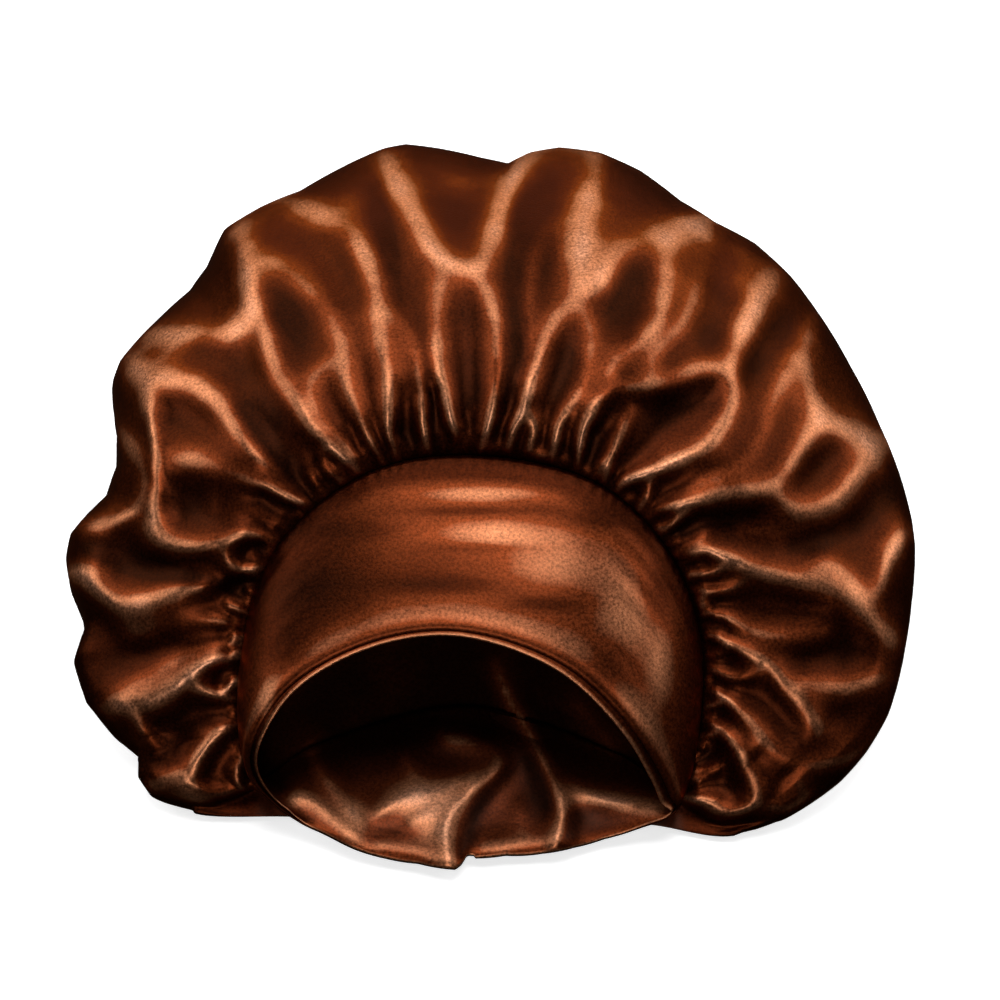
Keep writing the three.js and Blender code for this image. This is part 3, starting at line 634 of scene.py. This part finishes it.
def ring_mesh(name, grid, painted_light, inside, pole=None, closed=False):
    """A mesh from columns round the ring: rows joined, an optional pole, an optional closed tube.

    The tone given for each point is its painted light and shade, 0 for the deepest painted shade
    and 1 for the brightest painted highlight. inside says where the cloth's duller wrong side shows.
    """
    columns, rows = grid.shape[:2]
    points = grid.reshape(-1, 3)
    i = np.arange(columns)
    k = (i + 1) % columns
    last = rows if closed else rows - 1
    faces = []
    for j in range(last):
        n = (j + 1) % rows
        faces.append(np.stack([i * rows + j, i * rows + n, k * rows + n, k * rows + j], axis=1))
    faces = np.concatenate(faces)
    polygons = faces.tolist()
    if pole is not None:
        points = np.vstack([points, pole])
        top = len(points) - 1
        polygons += [[int(a * rows + rows - 1), top, int(b * rows + rows - 1)] for a, b in zip(i, k)]
    mesh = bpy.data.meshes.new(name)
    settled = (points + np.array([SETTLE[0], SETTLE[1], 0.0])) * MM
    mesh.from_pydata(settled.tolist(), [], polygons)
    mesh.update()
    mesh.polygons.foreach_set("use_smooth", [True] * len(mesh.polygons))
    # Painted light and shade for each point, kept for the satin's base colour; the pole takes the middle.
    painted_shading = np.full(len(points), 0.5, dtype=np.float32)
    painted_shading[: painted_light.size] = painted_light.ravel()
    mesh.attributes.new("painted_light", "FLOAT", "POINT").data.foreach_set("value", painted_shading)
    wrong_side = np.zeros(len(points), dtype=np.float32)
    wrong_side[: inside.size] = inside.ravel()
    mesh.attributes.new("inside", "FLOAT", "POINT").data.foreach_set("value", wrong_side)
    piece = bpy.data.objects.new(name, mesh)
    bpy.context.scene.collection.objects.link(piece)
    return piece


def drawn_from_centre(across, down):
    """Degrees round the drawing's centre, and pixels from it."""
    right = np.asarray(across) - DRAWING_CENTRE[0]
    up = DRAWING_CENTRE[1] - np.asarray(down)
    return np.degrees(np.arctan2(up, right)), np.hypot(right, up)


def seen_pixels(points):
    """Where points of the model show in the photograph: pixels across and down."""
    offset = points + np.array([*SETTLE, 0.0]) - EYE
    depth = offset @ FORWARD
    across = PICTURE_MIDDLE + FOCAL * offset[..., 0] / depth
    down = PICTURE_MIDDLE - FOCAL * (offset @ UPWARD) / depth
    return across, down


def seen(points):
    """The same, round the drawing's centre."""
    return drawn_from_centre(*seen_pixels(points))


def mouth_place(across, down):
    """Pixels of the photograph as lattice places of the mouth's drawing."""
    return across / 2.0, (down - MOUTH_DOWN[0]) / (MOUTH_DOWN[1] - MOUTH_DOWN[0])


def mouth_lines(lines):
    return tuple((height, tuple(mouth_place(*point) for point in line)) for height, line in lines)


def mouth_span():
    return MOUTH_ACROSS[0] / 2.0, MOUTH_ACROSS[1] / 2.0, 1.0


def seen_patch_tone(patches, points):
    across, down = seen_pixels(points)
    tone = np.zeros_like(across)
    for strength, x, y, wide, tall in patches:
        tone += strength * np.exp(-(((across - x) / wide) ** 2) - ((down - y) / tall) ** 2)
    return tone


def sample_mouth(lattice, points):
    """A lattice of the mouth's drawing read where these points show, 0 outside it."""
    across, down = seen_pixels(points)
    inside = (across > MOUTH_ACROSS[0]) & (across < MOUTH_ACROSS[1])
    inside &= (down > MOUTH_DOWN[0]) & (down < MOUTH_DOWN[1])
    column, share = mouth_place(across, down)
    return np.where(inside, sample_lattice(lattice, mouth_span(), 1.0, column, np.clip(share, 0.0, 1.0)), 0.0)


def traced(points, angle):
    """The distance of a given line from the drawing's centre, at these angles."""
    line_angle, line_radius = drawn_from_centre(*np.array(points, float).T)
    order = np.argsort(wrap(line_angle + 90.0))
    return np.interp(wrap(angle + 90.0), wrap(line_angle + 90.0)[order], line_radius[order])


def drawing_places(bare, reach):
    """Angle and share in the drawing of the folds, for each point of the bare crown.

    The share runs from the seam to the outline, and past the outline it goes on round the rim.
    """
    angle, radius = seen(bare[:, : len(reach)])
    farthest = np.argmax(radius, axis=1)
    inner = traced(SEEN_SEAM, angle)
    share = (radius - inner) / (traced(SEEN_OUTLINE, angle) - inner)
    columns = np.arange(len(bare))
    past = np.arange(len(reach))[None, :] > farthest[:, None]
    beyond = share[columns, farthest][:, None] + PAST_OUTLINE * (reach[None, :] - reach[farthest][:, None])
    share = np.where(past, beyond, share)
    angle = np.where(past, angle[columns, farthest][:, None], angle)
    return angle, np.clip(share, 0.0, CROWN_TOP)


def patch_tone(angle, share):
    tone = np.zeros_like(share)
    for strength, middle, height, spread, tall in PATCHES:
        sideways = (turn_between(angle, middle) / spread) ** 2
        tone += strength * np.exp(-sideways - ((share - height) / tall) ** 2)
    return tone


# How far past the outline the drawing goes on round the rim, for each step of reach.
PAST_OUTLINE = 0.5
OUTLINE_TRIES = 6
OUTLINE_STEP = 8.0
# Degrees either side of the front that the fit of the outline leaves alone.
FRONT_HALF_WIDTH = 54.0
FRONT_EDGE = 6.0
# Degrees from the front where the folds begin, and over how many they come in.
FOLDS_FROM = 49.0
FOLDS_OVER = 9.0
# Where the low cloth at the sides begins, whose rim lies flat on the table.
LOW_SIDE_FROM = 96.0
LOW_SIDE_OVER = 14.0
LOW_SIDE_RIM = (0.86, 0.12)
# The rows of the upper cloth stand closer near the seam.
ROW_CROWDING = 1.12
# How far the folds lean towards the view instead of standing square on the cloth.
LEAN_SHARE = 0.92
LEAN_FACING = (0.1, 0.35)
# Painted light and shade of the cloth, 0 as painted shade in the darkest hollow and 1 as a painted
# highlight on the brightest crest: its middle, the painted shade of the floor under the crown and of the
# band's inner layer, the gains of the folds and patches, and the share near the seam over which it darkens as
# painted shade.
MIDDLE_TONE = 0.31
FLOOR_SHADE = 0.08
CREST_GAIN = 1.6
PATCH_GAIN = 0.7
SEAM_SHADE = 0.03
# Painted shade just inside the outline: the tone is darkened by this much, from and over these shares.
RIM_SHADE = 0.5
RIM_SHADE_IN = (0.92, 0.08)
RIM_SHADE_OUT = (1.02, 0.08)
# The crown's floor that shows in the mouth: below this height, between these pixels across.
LOW_CLOTH = 12.0
MOUTH_LEFT = 252.0
MOUTH_RIGHT = 688.0
MOUTH_EDGE = 15.0
LOWER_RISE = 9.0
# Painted light and shade of that floor, taken from the mouth's drawing and its patches.
LOWER_GAIN = 1.2
LOWER_PATCH_GAIN = 0.6


def folded_crown(angles, reach_out, relief, painted_shading, mouth):
    """The crown's points with its folds, and the painted light and shade of each point."""
    shares = np.linspace(0.0, 1.0, UPPER_ROWS) ** ROW_CROWDING
    turns = np.linspace(0.0, 1.0, TURN_ROWS + 1)[1:]
    floors = np.linspace(0.0, 1.0, FLOOR_ROWS + 1)[1:-1]
    bare = crown_surface(angles, shares, turns, floors, reach_out)
    normals = grid_normals(bare)
    reach = np.concatenate([shares, 1.0 + 0.1 * turns])
    count = len(reach)
    drawn_angle, drawn_share = drawing_places(bare, reach)
    fade = np.concatenate([np.ones(len(shares)), 1.0 - turns])[None, :]
    around = smooth((from_front(angles) - FOLDS_FROM) / FOLDS_OVER)[:, None]
    rise = np.zeros(bare.shape[:2])
    height = sample_lattice(relief, CROWN_SPAN, CROWN_TOP, drawn_angle, drawn_share)
    sink = np.interp(drawn_share, [r[0] for r in FOLD_SINK], [r[1] for r in FOLD_SINK])
    rise[:, :count] = (height - sink) * fold_rise(drawn_share)
    low_side = smooth((LOW_SIDE_FROM - from_front(angles)) / LOW_SIDE_OVER)[:, None]
    rise[:, :count] *= fade * around * (1.0 - low_side * ramp(drawn_share, *LOW_SIDE_RIM))
    # Painted shade on the floor under the crown; over the upper cloth, painted light and shade from the folds
    # and patches, darkened as painted shade near the seam.
    painted_light = np.full(bare.shape[:2], FLOOR_SHADE)
    painted_fold_light = CREST_GAIN * sample_lattice(painted_shading, CROWN_SPAN, CROWN_TOP, drawn_angle, drawn_share)
    painted_fold_light += PATCH_GAIN * patch_tone(drawn_angle, drawn_share)
    painted_light[:, :count] = np.clip(MIDDLE_TONE + painted_fold_light * around, 0.0, 1.0) * smooth(drawn_share / SEAM_SHADE)
    # Painted shade just inside the outline.
    shaded = ramp(drawn_share, *RIM_SHADE_IN) * (1.0 - ramp(drawn_share, *RIM_SHADE_OUT))
    painted_light[:, :count] *= 1.0 - RIM_SHADE * shaded
    lean = unit(EYE - bare)
    facing = np.sum(normals * lean, axis=2)[:, :, None]
    way = unit(mix(normals, lean, LEAN_SHARE * ramp(facing, *LEAN_FACING)))
    stretch = 1.0 / np.maximum(np.sum(normals * way, axis=2)[:, :, None], 0.5)
    folded = bare + way * rise[:, :, None] * stretch
    in_front = 1.0 - gather_share(angles)[:, None]
    low = bare[:, :, 2] < LOW_CLOTH
    below = np.where(low, np.maximum(in_front, np.arange(bare.shape[1])[None, :] >= count), 0.0)
    across, _ = seen_pixels(bare)
    below *= smooth((across - MOUTH_LEFT) / MOUTH_EDGE) * smooth((MOUTH_RIGHT - across) / MOUTH_EDGE)
    folded += lean * (below * LOWER_RISE * sample_mouth(mouth[0], bare))[:, :, None]
    # Painted light and shade on the floor cloth that shows in the mouth.
    mouth_light_and_shade = LOWER_PATCH_GAIN * seen_patch_tone(MOUTH_PATCHES, bare)
    painted_light += below * (LOWER_GAIN * sample_mouth(mouth[1], bare) + mouth_light_and_shade)
    painted_light = np.clip(painted_light, 0.0, 1.0)
    folded[:, :, 2] = np.maximum(folded[:, :, 2], CROWN_CLOTH / 2)
    return folded, painted_light, below


def make_crown(relief, painted_shading, mouth):
    """The crown, its rim moved out or in until its outline is the photograph's."""
    angles = crown_angles()
    behind = smooth((from_front(angles) - FRONT_HALF_WIDTH) / FRONT_EDGE)
    reach_out = np.zeros(len(angles))
    columns = np.arange(len(angles))
    for _ in range(OUTLINE_TRIES):
        folded, painted_light, below = folded_crown(angles, reach_out, relief, painted_shading, mouth)
        angle, radius = seen(folded)
        farthest = np.argmax(radius, axis=1)
        gap = traced(SEEN_OUTLINE, angle[columns, farthest]) - radius[columns, farthest]
        reach_out = reach_out + behind * np.clip(gap / PIXELS_PER_MM, -OUTLINE_STEP, OUTLINE_STEP)
    pole = np.array([[0.0, POLE_BACK * DEPTH, CROWN_CLOTH / 2]])
    return ring_mesh("crown_cloth", folded, painted_light, np.clip(below, 0.0, 1.0), pole=pole)


# The lip in front: how high its folds stand, how far it sinks, its lowest point and its thickness.
LIP_RISE = 10.0
LIP_SINK = 0.2
LIP_LOWEST = 2.2
LIP_THICKNESS = 0.6
# Painted light and shade of the lip: its base tone, which darkens towards the seam as painted shade, and how
# much of the mouth's drawn light it takes.
LIP_TONE = 0.45
LIP_GAIN = 0.8
# Its folds fade towards the seam by this much, from and over these shares.
LIP_FADE = 0.8
LIP_FADE_SHARES = (0.75, 0.25)
# The fit of the lip's edge: rounds, half its width in degrees, and the farthest it goes in mm.
LIP_TRIES = 5
LIP_HALF_ANGLE = 52.0
LIP_EDGE = 12.0
LIP_FARTHEST = 12.0
# Away from the middle the fitted edge is evened out over this many columns.
EVEN_FROM = 28.0
EVEN_OVER = 12.0
EVEN_COLUMNS = 15
BAND_COLUMNS = 640
OUTER_ROWS = 40
INNER_ROWS = 22
# Painted light and shade of the band's base, before its patches.
BAND_TONE = 0.34
# Painted highlight where the cloth rolls over the free edge: tone, share of the middle and spread.
ROLL_HIGHLIGHT = 0.25
ROLL_MIDDLE = 0.1
ROLL_SPREAD = 0.09
# Painted shade: the band darkens to this share of its tone at the seam.
BAND_SEAM_SHADE = 0.45
HEM_REACH = 3.2
WRINKLE_RISE = 0.22
WRINKLES = 9
# Rows of the hem past the outer layer: the groove in painted shade, the edge with a painted highlight
# and the inner layer, in painted shade away from the lip.
GROOVE_ROWS = (8, 10)
BRIGHT_ROWS = (11, 14)
EDGE_HIGHLIGHT = 0.75
INNER_FROM = 16
INNER_SHOWS = 0.35
# Painted shade on the outer face of the slack lip.
LIP_OUTER_SHADE = 0.7

# The rolled hem across the free edge: millimetres in from the edge, out along the normal, and how
# much of the inner layer's reach applies.
HEM_PROFILE = (
    (7.0, 1.3, 0.0), (5.4, 1.5, 0.0), (3.8, 1.9, 0.0), (2.2, 2.1, 0.0), (0.9, 1.9, 0.0),
    (0.0, 1.3, 0.0), (-0.3, 0.6, 0.0), (0.2, -0.1, 0.0), (1.6, -0.6, 0.0), (2.2, -1.1, 0.2),
    (1.2, -1.6, 0.7), (0.2, -1.9, 1.0), (-0.4, -2.2, 1.0), (-0.3, -2.6, 1.0), (0.6, -2.9, 0.9),
    (2.4, -2.8, 0.5), (5.5, -2.2, 0.2), (9.0, -1.6, 0.0), (14.0, -1.3, 0.0),
)
# How far the inner layer shows past the rolled hem, as a share of HEM_REACH, by angle.
HEM_SHOWS = (
    (-180, 0.2), (-150, 0.1), (-40, 0.1), (-25, 0.7), (10, 1.0), (45, 0.8), (90, 0.25), (140, 0.2),
    (180, 0.2),
)


def by_angle(rows, angles):
    """A given table of (angle, value) read at these angles."""
    return np.interp(turn_between(angles, 0.0), [r[0] for r in rows], [r[1] for r in rows])


def band_grid(angles, mouth, edge_out):
    """Points round the band's section: outer layer, hem and inner layer, with their shares."""
    seam, edge, across, normal = band_frame(angles)
    slack = 1.0 - gather_share(angles)[:, None]
    edge = edge - across * edge_out[:, None]
    width = np.linalg.norm(seam - edge, axis=1)[:, None]
    hem = np.array(HEM_PROFILE)
    shows = HEM_REACH * by_angle(HEM_SHOWS, angles)[:, None]
    outer_from = (hem[0, 0] + 1.0) / width
    inner_from = (hem[-1, 0] + 2.0) / width
    outer = np.linspace(1.0, 0.0, OUTER_ROWS)[None, :]
    inner = np.linspace(0.0, 1.0, INNER_ROWS)[None, :]
    turned = (hem[None, :, 0] - shows * hem[None, :, 2]) / width
    share = np.concatenate([mix(outer_from, 1.0, outer), turned, mix(inner_from, 1.0, inner)], axis=1)
    half = BAND_CLOTH / 2
    out = np.concatenate([np.full(OUTER_ROWS, half), hem[:, 1], np.full(INNER_ROWS, -half)])[None, :]
    out = out * mix(1.0, LIP_THICKNESS, slack)
    s = share
    middle = mix(edge[:, None], seam[:, None], s[:, :, None])
    angle_grid = np.repeat(angles[:, None], s.shape[1], 1)
    height = BAND_BULGE * 4 * s * (1 - s) * (1.0 - slack) + out + band_wrinkles(angle_grid, s)
    points = middle + normal[:, None] * height[:, :, None]
    folds = sample_mouth(mouth[0], points) * (1.0 - LIP_FADE * ramp(s, *LIP_FADE_SHARES)) - LIP_SINK
    points += unit(EYE - points) * (slack * folds * LIP_RISE)[:, :, None]
    points[:, :, 2] = np.maximum(points[:, :, 2], LIP_LOWEST)
    return points, angle_grid, s


def band_wrinkles(angle, s):
    """Slight wrinkles that run along the band, stronger towards the seam, and tiny gathers at it."""
    rng = np.random.default_rng(SEED + 1)
    total = np.zeros_like(angle)
    for _ in range(WRINKLES):
        rows = rng.uniform(4.0, 9.0)
        drift = rng.uniform(-0.02, 0.02)
        phase = rng.uniform(0, 2 * np.pi)
        centre = rng.uniform(20.0, 160.0)
        spread = rng.uniform(14.0, 40.0)
        window = np.exp(-((turn_between(angle, centre) / spread) ** 2))
        total += window * np.sin(2 * np.pi * rows * s + drift * angle + phase)
    strength = 0.25 + 0.75 * smooth((s - 0.45) / 0.4)
    round_ring = np.radians(angle)
    gathers = np.sin(round_ring * 97.0 + 2.0 * np.sin(round_ring * 13.0)) * smooth((s - 0.9) / 0.1)
    return (total * strength * 0.5 + gathers * 0.8) * WRINKLE_RISE


def make_band(mouth):
    """The band, its free edge in front moved until the lip's lower outline is the photograph's."""
    angles = np.linspace(0.0, 360.0, BAND_COLUMNS, endpoint=False)
    edge_out = np.zeros(BAND_COLUMNS)
    in_front = smooth((LIP_HALF_ANGLE - from_front(angles)) / LIP_EDGE)
    sideways = smooth((from_front(angles) - EVEN_FROM) / EVEN_OVER)
    even = np.full(EVEN_COLUMNS, 1.0 / EVEN_COLUMNS)
    columns = np.arange(BAND_COLUMNS)
    for _ in range(LIP_TRIES):
        grid, angle_grid, share = band_grid(angles, mouth, edge_out)
        angle, radius = seen(grid)
        farthest = np.argmax(radius, axis=1)
        gap = traced(SEEN_LIP, angle[columns, farthest]) - radius[columns, farthest]
        edge_out = np.clip(edge_out + in_front * gap / PIXELS_PER_MM, -LIP_FARTHEST, LIP_FARTHEST)
        evened = np.convolve(np.tile(edge_out, 3), even, "same")[BAND_COLUMNS : 2 * BAND_COLUMNS]
        edge_out = mix(edge_out, evened, sideways)
    # Painted light and shade of the band and lip: the lip's from the mouth's drawing, a painted highlight on
    # the roll, the band's patches, and painted shade towards the seam.
    painted_fold_light = sample_mouth(mouth[1], grid)
    slack = 1.0 - gather_share(angles)[:, None]
    roll_highlight = np.exp(-(((share - ROLL_MIDDLE) / ROLL_SPREAD) ** 2)) * (1.0 - slack)
    band_light_and_shade = BAND_TONE + seen_patch_tone(BAND_PATCHES, grid)
    lip_light_and_shade = LIP_TONE * (1.0 - 0.55 * smooth((share - 0.45) / 0.5))
    painted_light = mix(band_light_and_shade, lip_light_and_shade, slack) + LIP_GAIN * painted_fold_light * slack
    painted_light = painted_light + ROLL_HIGHLIGHT * roll_highlight + slack * seen_patch_tone(MOUTH_PATCHES, grid)
    painted_light = np.clip(painted_light, 0.0, 1.0) * mix(1.0, BAND_SEAM_SHADE, smooth((share - 0.8) / 0.2) * (1.0 - slack))
    # The groove in painted shade, the edge with a painted highlight, the inner layer and the lip's outer face
    # in painted shade.
    groove = slice(OUTER_ROWS + GROOVE_ROWS[0], OUTER_ROWS + GROOVE_ROWS[1])
    bright = slice(OUTER_ROWS + BRIGHT_ROWS[0], OUTER_ROWS + BRIGHT_ROWS[1])
    inner_layer = slice(OUTER_ROWS + INNER_FROM, None)
    painted_light[:, groove] = 0.0
    painted_light[:, bright] = EDGE_HIGHLIGHT
    painted_light[:, inner_layer] = mix(FLOOR_SHADE, painted_light[:, inner_layer], slack)
    painted_light[:, : groove.stop] *= 1.0 - LIP_OUTER_SHADE * slack
    inside = np.zeros_like(painted_light)
    inside[:, inner_layer] = INNER_SHOWS * slack
    return ring_mesh("band_cloth", grid, painted_light, inside, closed=True)


# Satin: scales of the thread grain and of the soft clouds, and how strongly each one works.
GRAIN_SCALE = 780.0
GRAIN_DARK = 0.55
GRAIN_LIGHT = 1.45
GRAIN_BUMP = 0.25
GRAIN_DEPTH = 0.0004
CLOUD_SCALE = 22.0
CLOUD_DEPTH = {"crown": 0.12, "band": 0.05}
ROUGHNESS = (0.34, 0.46)
# Metallic share on the right side of the cloth and on its duller wrong side.
SHEEN = (0.95, 0.3)
SHEEN_TINT = (0.9, 0.54, 0.4, 1)
# Colours of the painted light and shade, from the deepest painted shade to the brightest painted highlight.
SATIN_SHADE_TO_LIGHT = (
    (0.0, (0.015, 0.003, 0.0008)),
    (0.28, (0.05, 0.0085, 0.002)),
    (0.5, (0.14, 0.027, 0.0072)),
    (0.72, (0.44, 0.165, 0.075)),
    (1.0, (0.6, 0.28, 0.16)),
)


def linked(tree, kind, **inputs):
    """A new node with its sockets set, or linked where the value is another node's output."""
    node = tree.nodes.new(kind)
    for name, value in inputs.items():
        socket = node.inputs[int(name[1:])] if name[0] == "i" and name[1:].isdigit() else node.inputs[name]
        if isinstance(value, bpy.types.NodeSocket):
            tree.links.new(value, socket)
        else:
            socket.default_value = value
    return node


def spread_over(tree, value, low, high, new_low, new_high):
    """The value, stretched so that low to high becomes new_low to new_high."""
    node = linked(tree, "ShaderNodeMapRange", Value=value, i1=low, i2=high, i3=new_low, i4=new_high)
    return node.outputs["Result"]


def stored(tree, name):
    node = tree.nodes.new("ShaderNodeAttribute")
    node.attribute_name = name
    return node.outputs["Fac"]


def colour_ramp(tree, source, stops):
    node = linked(tree, "ShaderNodeValToRGB", Fac=source)
    elements = node.color_ramp.elements
    while len(elements) < len(stops):
        elements.new(0.5)
    for element, (position, colour) in zip(elements, stops):
        element.position = position
        element.color = (*colour, 1)
    return node.outputs["Color"]


def satin(name, seed, cloud_depth):
    """Brown satin: a base colour that carries painted light and shade, a painted highlight on the crests
    and painted shade in the hollows, under a tinted sheen from the lamps, and a fine thread grain.
    """
    material = bpy.data.materials.new(name)
    material.use_nodes = True
    tree = material.node_tree
    shader = tree.nodes["Principled BSDF"]
    coordinates = tree.nodes.new("ShaderNodeTexCoord").outputs["Object"]
    thread = {"Vector": coordinates, "Scale": GRAIN_SCALE, "Detail": 3.0, "Roughness": 0.7}
    grain = linked(tree, "ShaderNodeTexNoise", **thread).outputs["Fac"]
    clouds = {"Vector": coordinates, "Scale": CLOUD_SCALE + seed, "Detail": 3.0}
    cloud = linked(tree, "ShaderNodeTexNoise", **clouds).outputs["Fac"]
    # The painted light and shade, stirred by the soft clouds, picks the base colour from these.
    shifted = tree.nodes.new("ShaderNodeMath")
    shifted.operation = "ADD"
    tree.links.new(stored(tree, "painted_light"), shifted.inputs[0])
    tree.links.new(spread_over(tree, cloud, 0.3, 0.7, -cloud_depth, cloud_depth), shifted.inputs[1])
    tone = colour_ramp(tree, shifted.outputs["Value"], SATIN_SHADE_TO_LIGHT)
    speck = spread_over(tree, grain, 0.35, 0.65, GRAIN_DARK, GRAIN_LIGHT)
    grey = linked(tree, "ShaderNodeCombineColor", Red=speck, Green=speck, Blue=speck)
    tinted = tree.nodes.new("ShaderNodeMix")
    tinted.data_type = "RGBA"
    tinted.blend_type = "MULTIPLY"
    tinted.inputs["Factor"].default_value = 1.0
    tree.links.new(tone, tinted.inputs[6])
    tree.links.new(grey.outputs["Color"], tinted.inputs[7])
    bump = linked(tree, "ShaderNodeBump", Height=grain, Strength=GRAIN_BUMP, Distance=GRAIN_DEPTH)
    tree.links.new(tinted.outputs[2], shader.inputs["Base Color"])
    tree.links.new(spread_over(tree, grain, 0.3, 0.7, *ROUGHNESS), shader.inputs["Roughness"])
    tree.links.new(bump.outputs["Normal"], shader.inputs["Normal"])
    tree.links.new(spread_over(tree, stored(tree, "inside"), 0.0, 1.0, *SHEEN), shader.inputs["Metallic"])
    shader.inputs["Specular Tint"].default_value = SHEEN_TINT
    return material


crown_shares = np.linspace(0.0, CROWN_TOP, CROWN_ROWS)
crown_sag = mix(CROWN_SAG[0], CROWN_SAG[1], smooth(crown_shares / SAG_FULL_AT))
crown_relief, crown_painted_shading = relief_lattice(
    FOLDS + tuple(seen_folds()) + tuple(seam_pleats()), CREASES, CROWN_SPAN, CROWN_ROWS, CROWN_TOP,
    crown_cells(), crown_sag, smooth(crown_shares / WIDENED_AT),
)
mouth_columns = int(mouth_span()[1] - mouth_span()[0]) + 1
mouth_size = (np.full(MOUTH_ROWS, MOUTH_CELL_MM), np.full(mouth_columns, MOUTH_CELL_MM))
mouth_drawing = relief_lattice(
    mouth_lines(MOUTH_FOLDS), mouth_lines(MOUTH_CREASES), mouth_span(), MOUTH_ROWS, 1.0, mouth_size,
    np.full(MOUTH_ROWS, MOUTH_SAG), np.full(MOUTH_ROWS, 0.5),
)
crown = make_crown(crown_relief, crown_painted_shading, mouth_drawing)
band = make_band(mouth_drawing)
for piece, node in ((crown, "crown"), (band, "band")):
    piece.data.materials.append(satin(node + "_satin", len(node), CLOUD_DEPTH[node]))
    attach(piece, "root")
    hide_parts(node)

# Stage: a white floor, soft studio light and the camera at the photograph's angle.
floor_mesh = bpy.data.meshes.new("floor")
floor_mesh.from_pydata([(-4, -4, 0), (4, -4, 0), (4, 4, 0), (-4, 4, 0)], [], [(0, 1, 2, 3)])
floor = bpy.data.objects.new("floor", floor_mesh)
bpy.context.scene.collection.objects.link(floor)
paper = bpy.data.materials.new("paper")
paper.use_nodes = True
PAPER = {
    "Base Color": (0.95, 0.95, 0.95, 1),
    "Roughness": 0.9,
    "Emission Color": (1, 1, 1, 1),
    "Emission Strength": 0.6,
}
for socket_name, socket_value in PAPER.items():
    paper.node_tree.nodes["Principled BSDF"].inputs[socket_name].default_value = socket_value
floor.data.materials.append(paper)
floor.visible_glossy = False
floor.visible_diffuse = False

world = bpy.data.worlds.new("studio")
world.use_nodes = True
world.node_tree.nodes["Background"].inputs["Color"].default_value = (1, 1, 1, 1)
world.node_tree.nodes["Background"].inputs["Strength"].default_value = 0.03
bpy.context.scene.view_settings.view_transform = "Standard"
bpy.context.scene.world = world


def softbox(name, place, aim, size, power):
    data = bpy.data.lights.new(name, "AREA")
    data.shape = "RECTANGLE"
    data.size, data.size_y = size
    data.energy = power
    lamp = bpy.data.objects.new(name, data)
    bpy.context.scene.collection.objects.link(lamp)
    lamp.location = place
    lamp.rotation_euler = direction_euler(place, aim)


def direction_euler(place, aim):
    return (Vector(aim) - Vector(place)).to_track_quat("-Z", "Y").to_euler()


# Softboxes round the object: name, place, size and power.
SOFTBOXES = (
    ("overhead", (0.0, 0.15, 1.5), (1.1, 0.7), 11.5),
    ("back_high", (0.0, 1.05, 1.2), (1.6, 0.9), 9.0),
    ("back_low", (0.0, 1.6, 0.35), (2.0, 0.5), 6.5),
    ("back_left", (-1.15, 0.85, 0.75), (1.3, 1.0), 10.0),
    ("back_right", (1.15, 0.85, 0.75), (1.3, 1.0), 10.0),
    ("left", (-1.4, 0.1, 0.8), (0.9, 0.6), 3.0),
    ("right", (1.4, 0.1, 0.8), (0.9, 0.6), 3.0),
    ("front", (-0.1, -1.35, 1.15), (0.7, 0.5), 7.0),
)
for box_name, box_place, box_size, box_power in SOFTBOXES:
    softbox(box_name, box_place, (0.0, 0.0, 0.05), box_size, box_power)

camera_data = bpy.data.cameras.new("camera")
camera_data.lens = LENS
camera_data.sensor_width = SENSOR
camera = bpy.data.objects.new("camera", camera_data)
bpy.context.scene.collection.objects.link(camera)
camera.location = EYE * MM
camera.rotation_euler = (math.radians(90.0) - CAMERA_ELEVATION, 0.0, 0.0)
bpy.context.scene.camera = camera
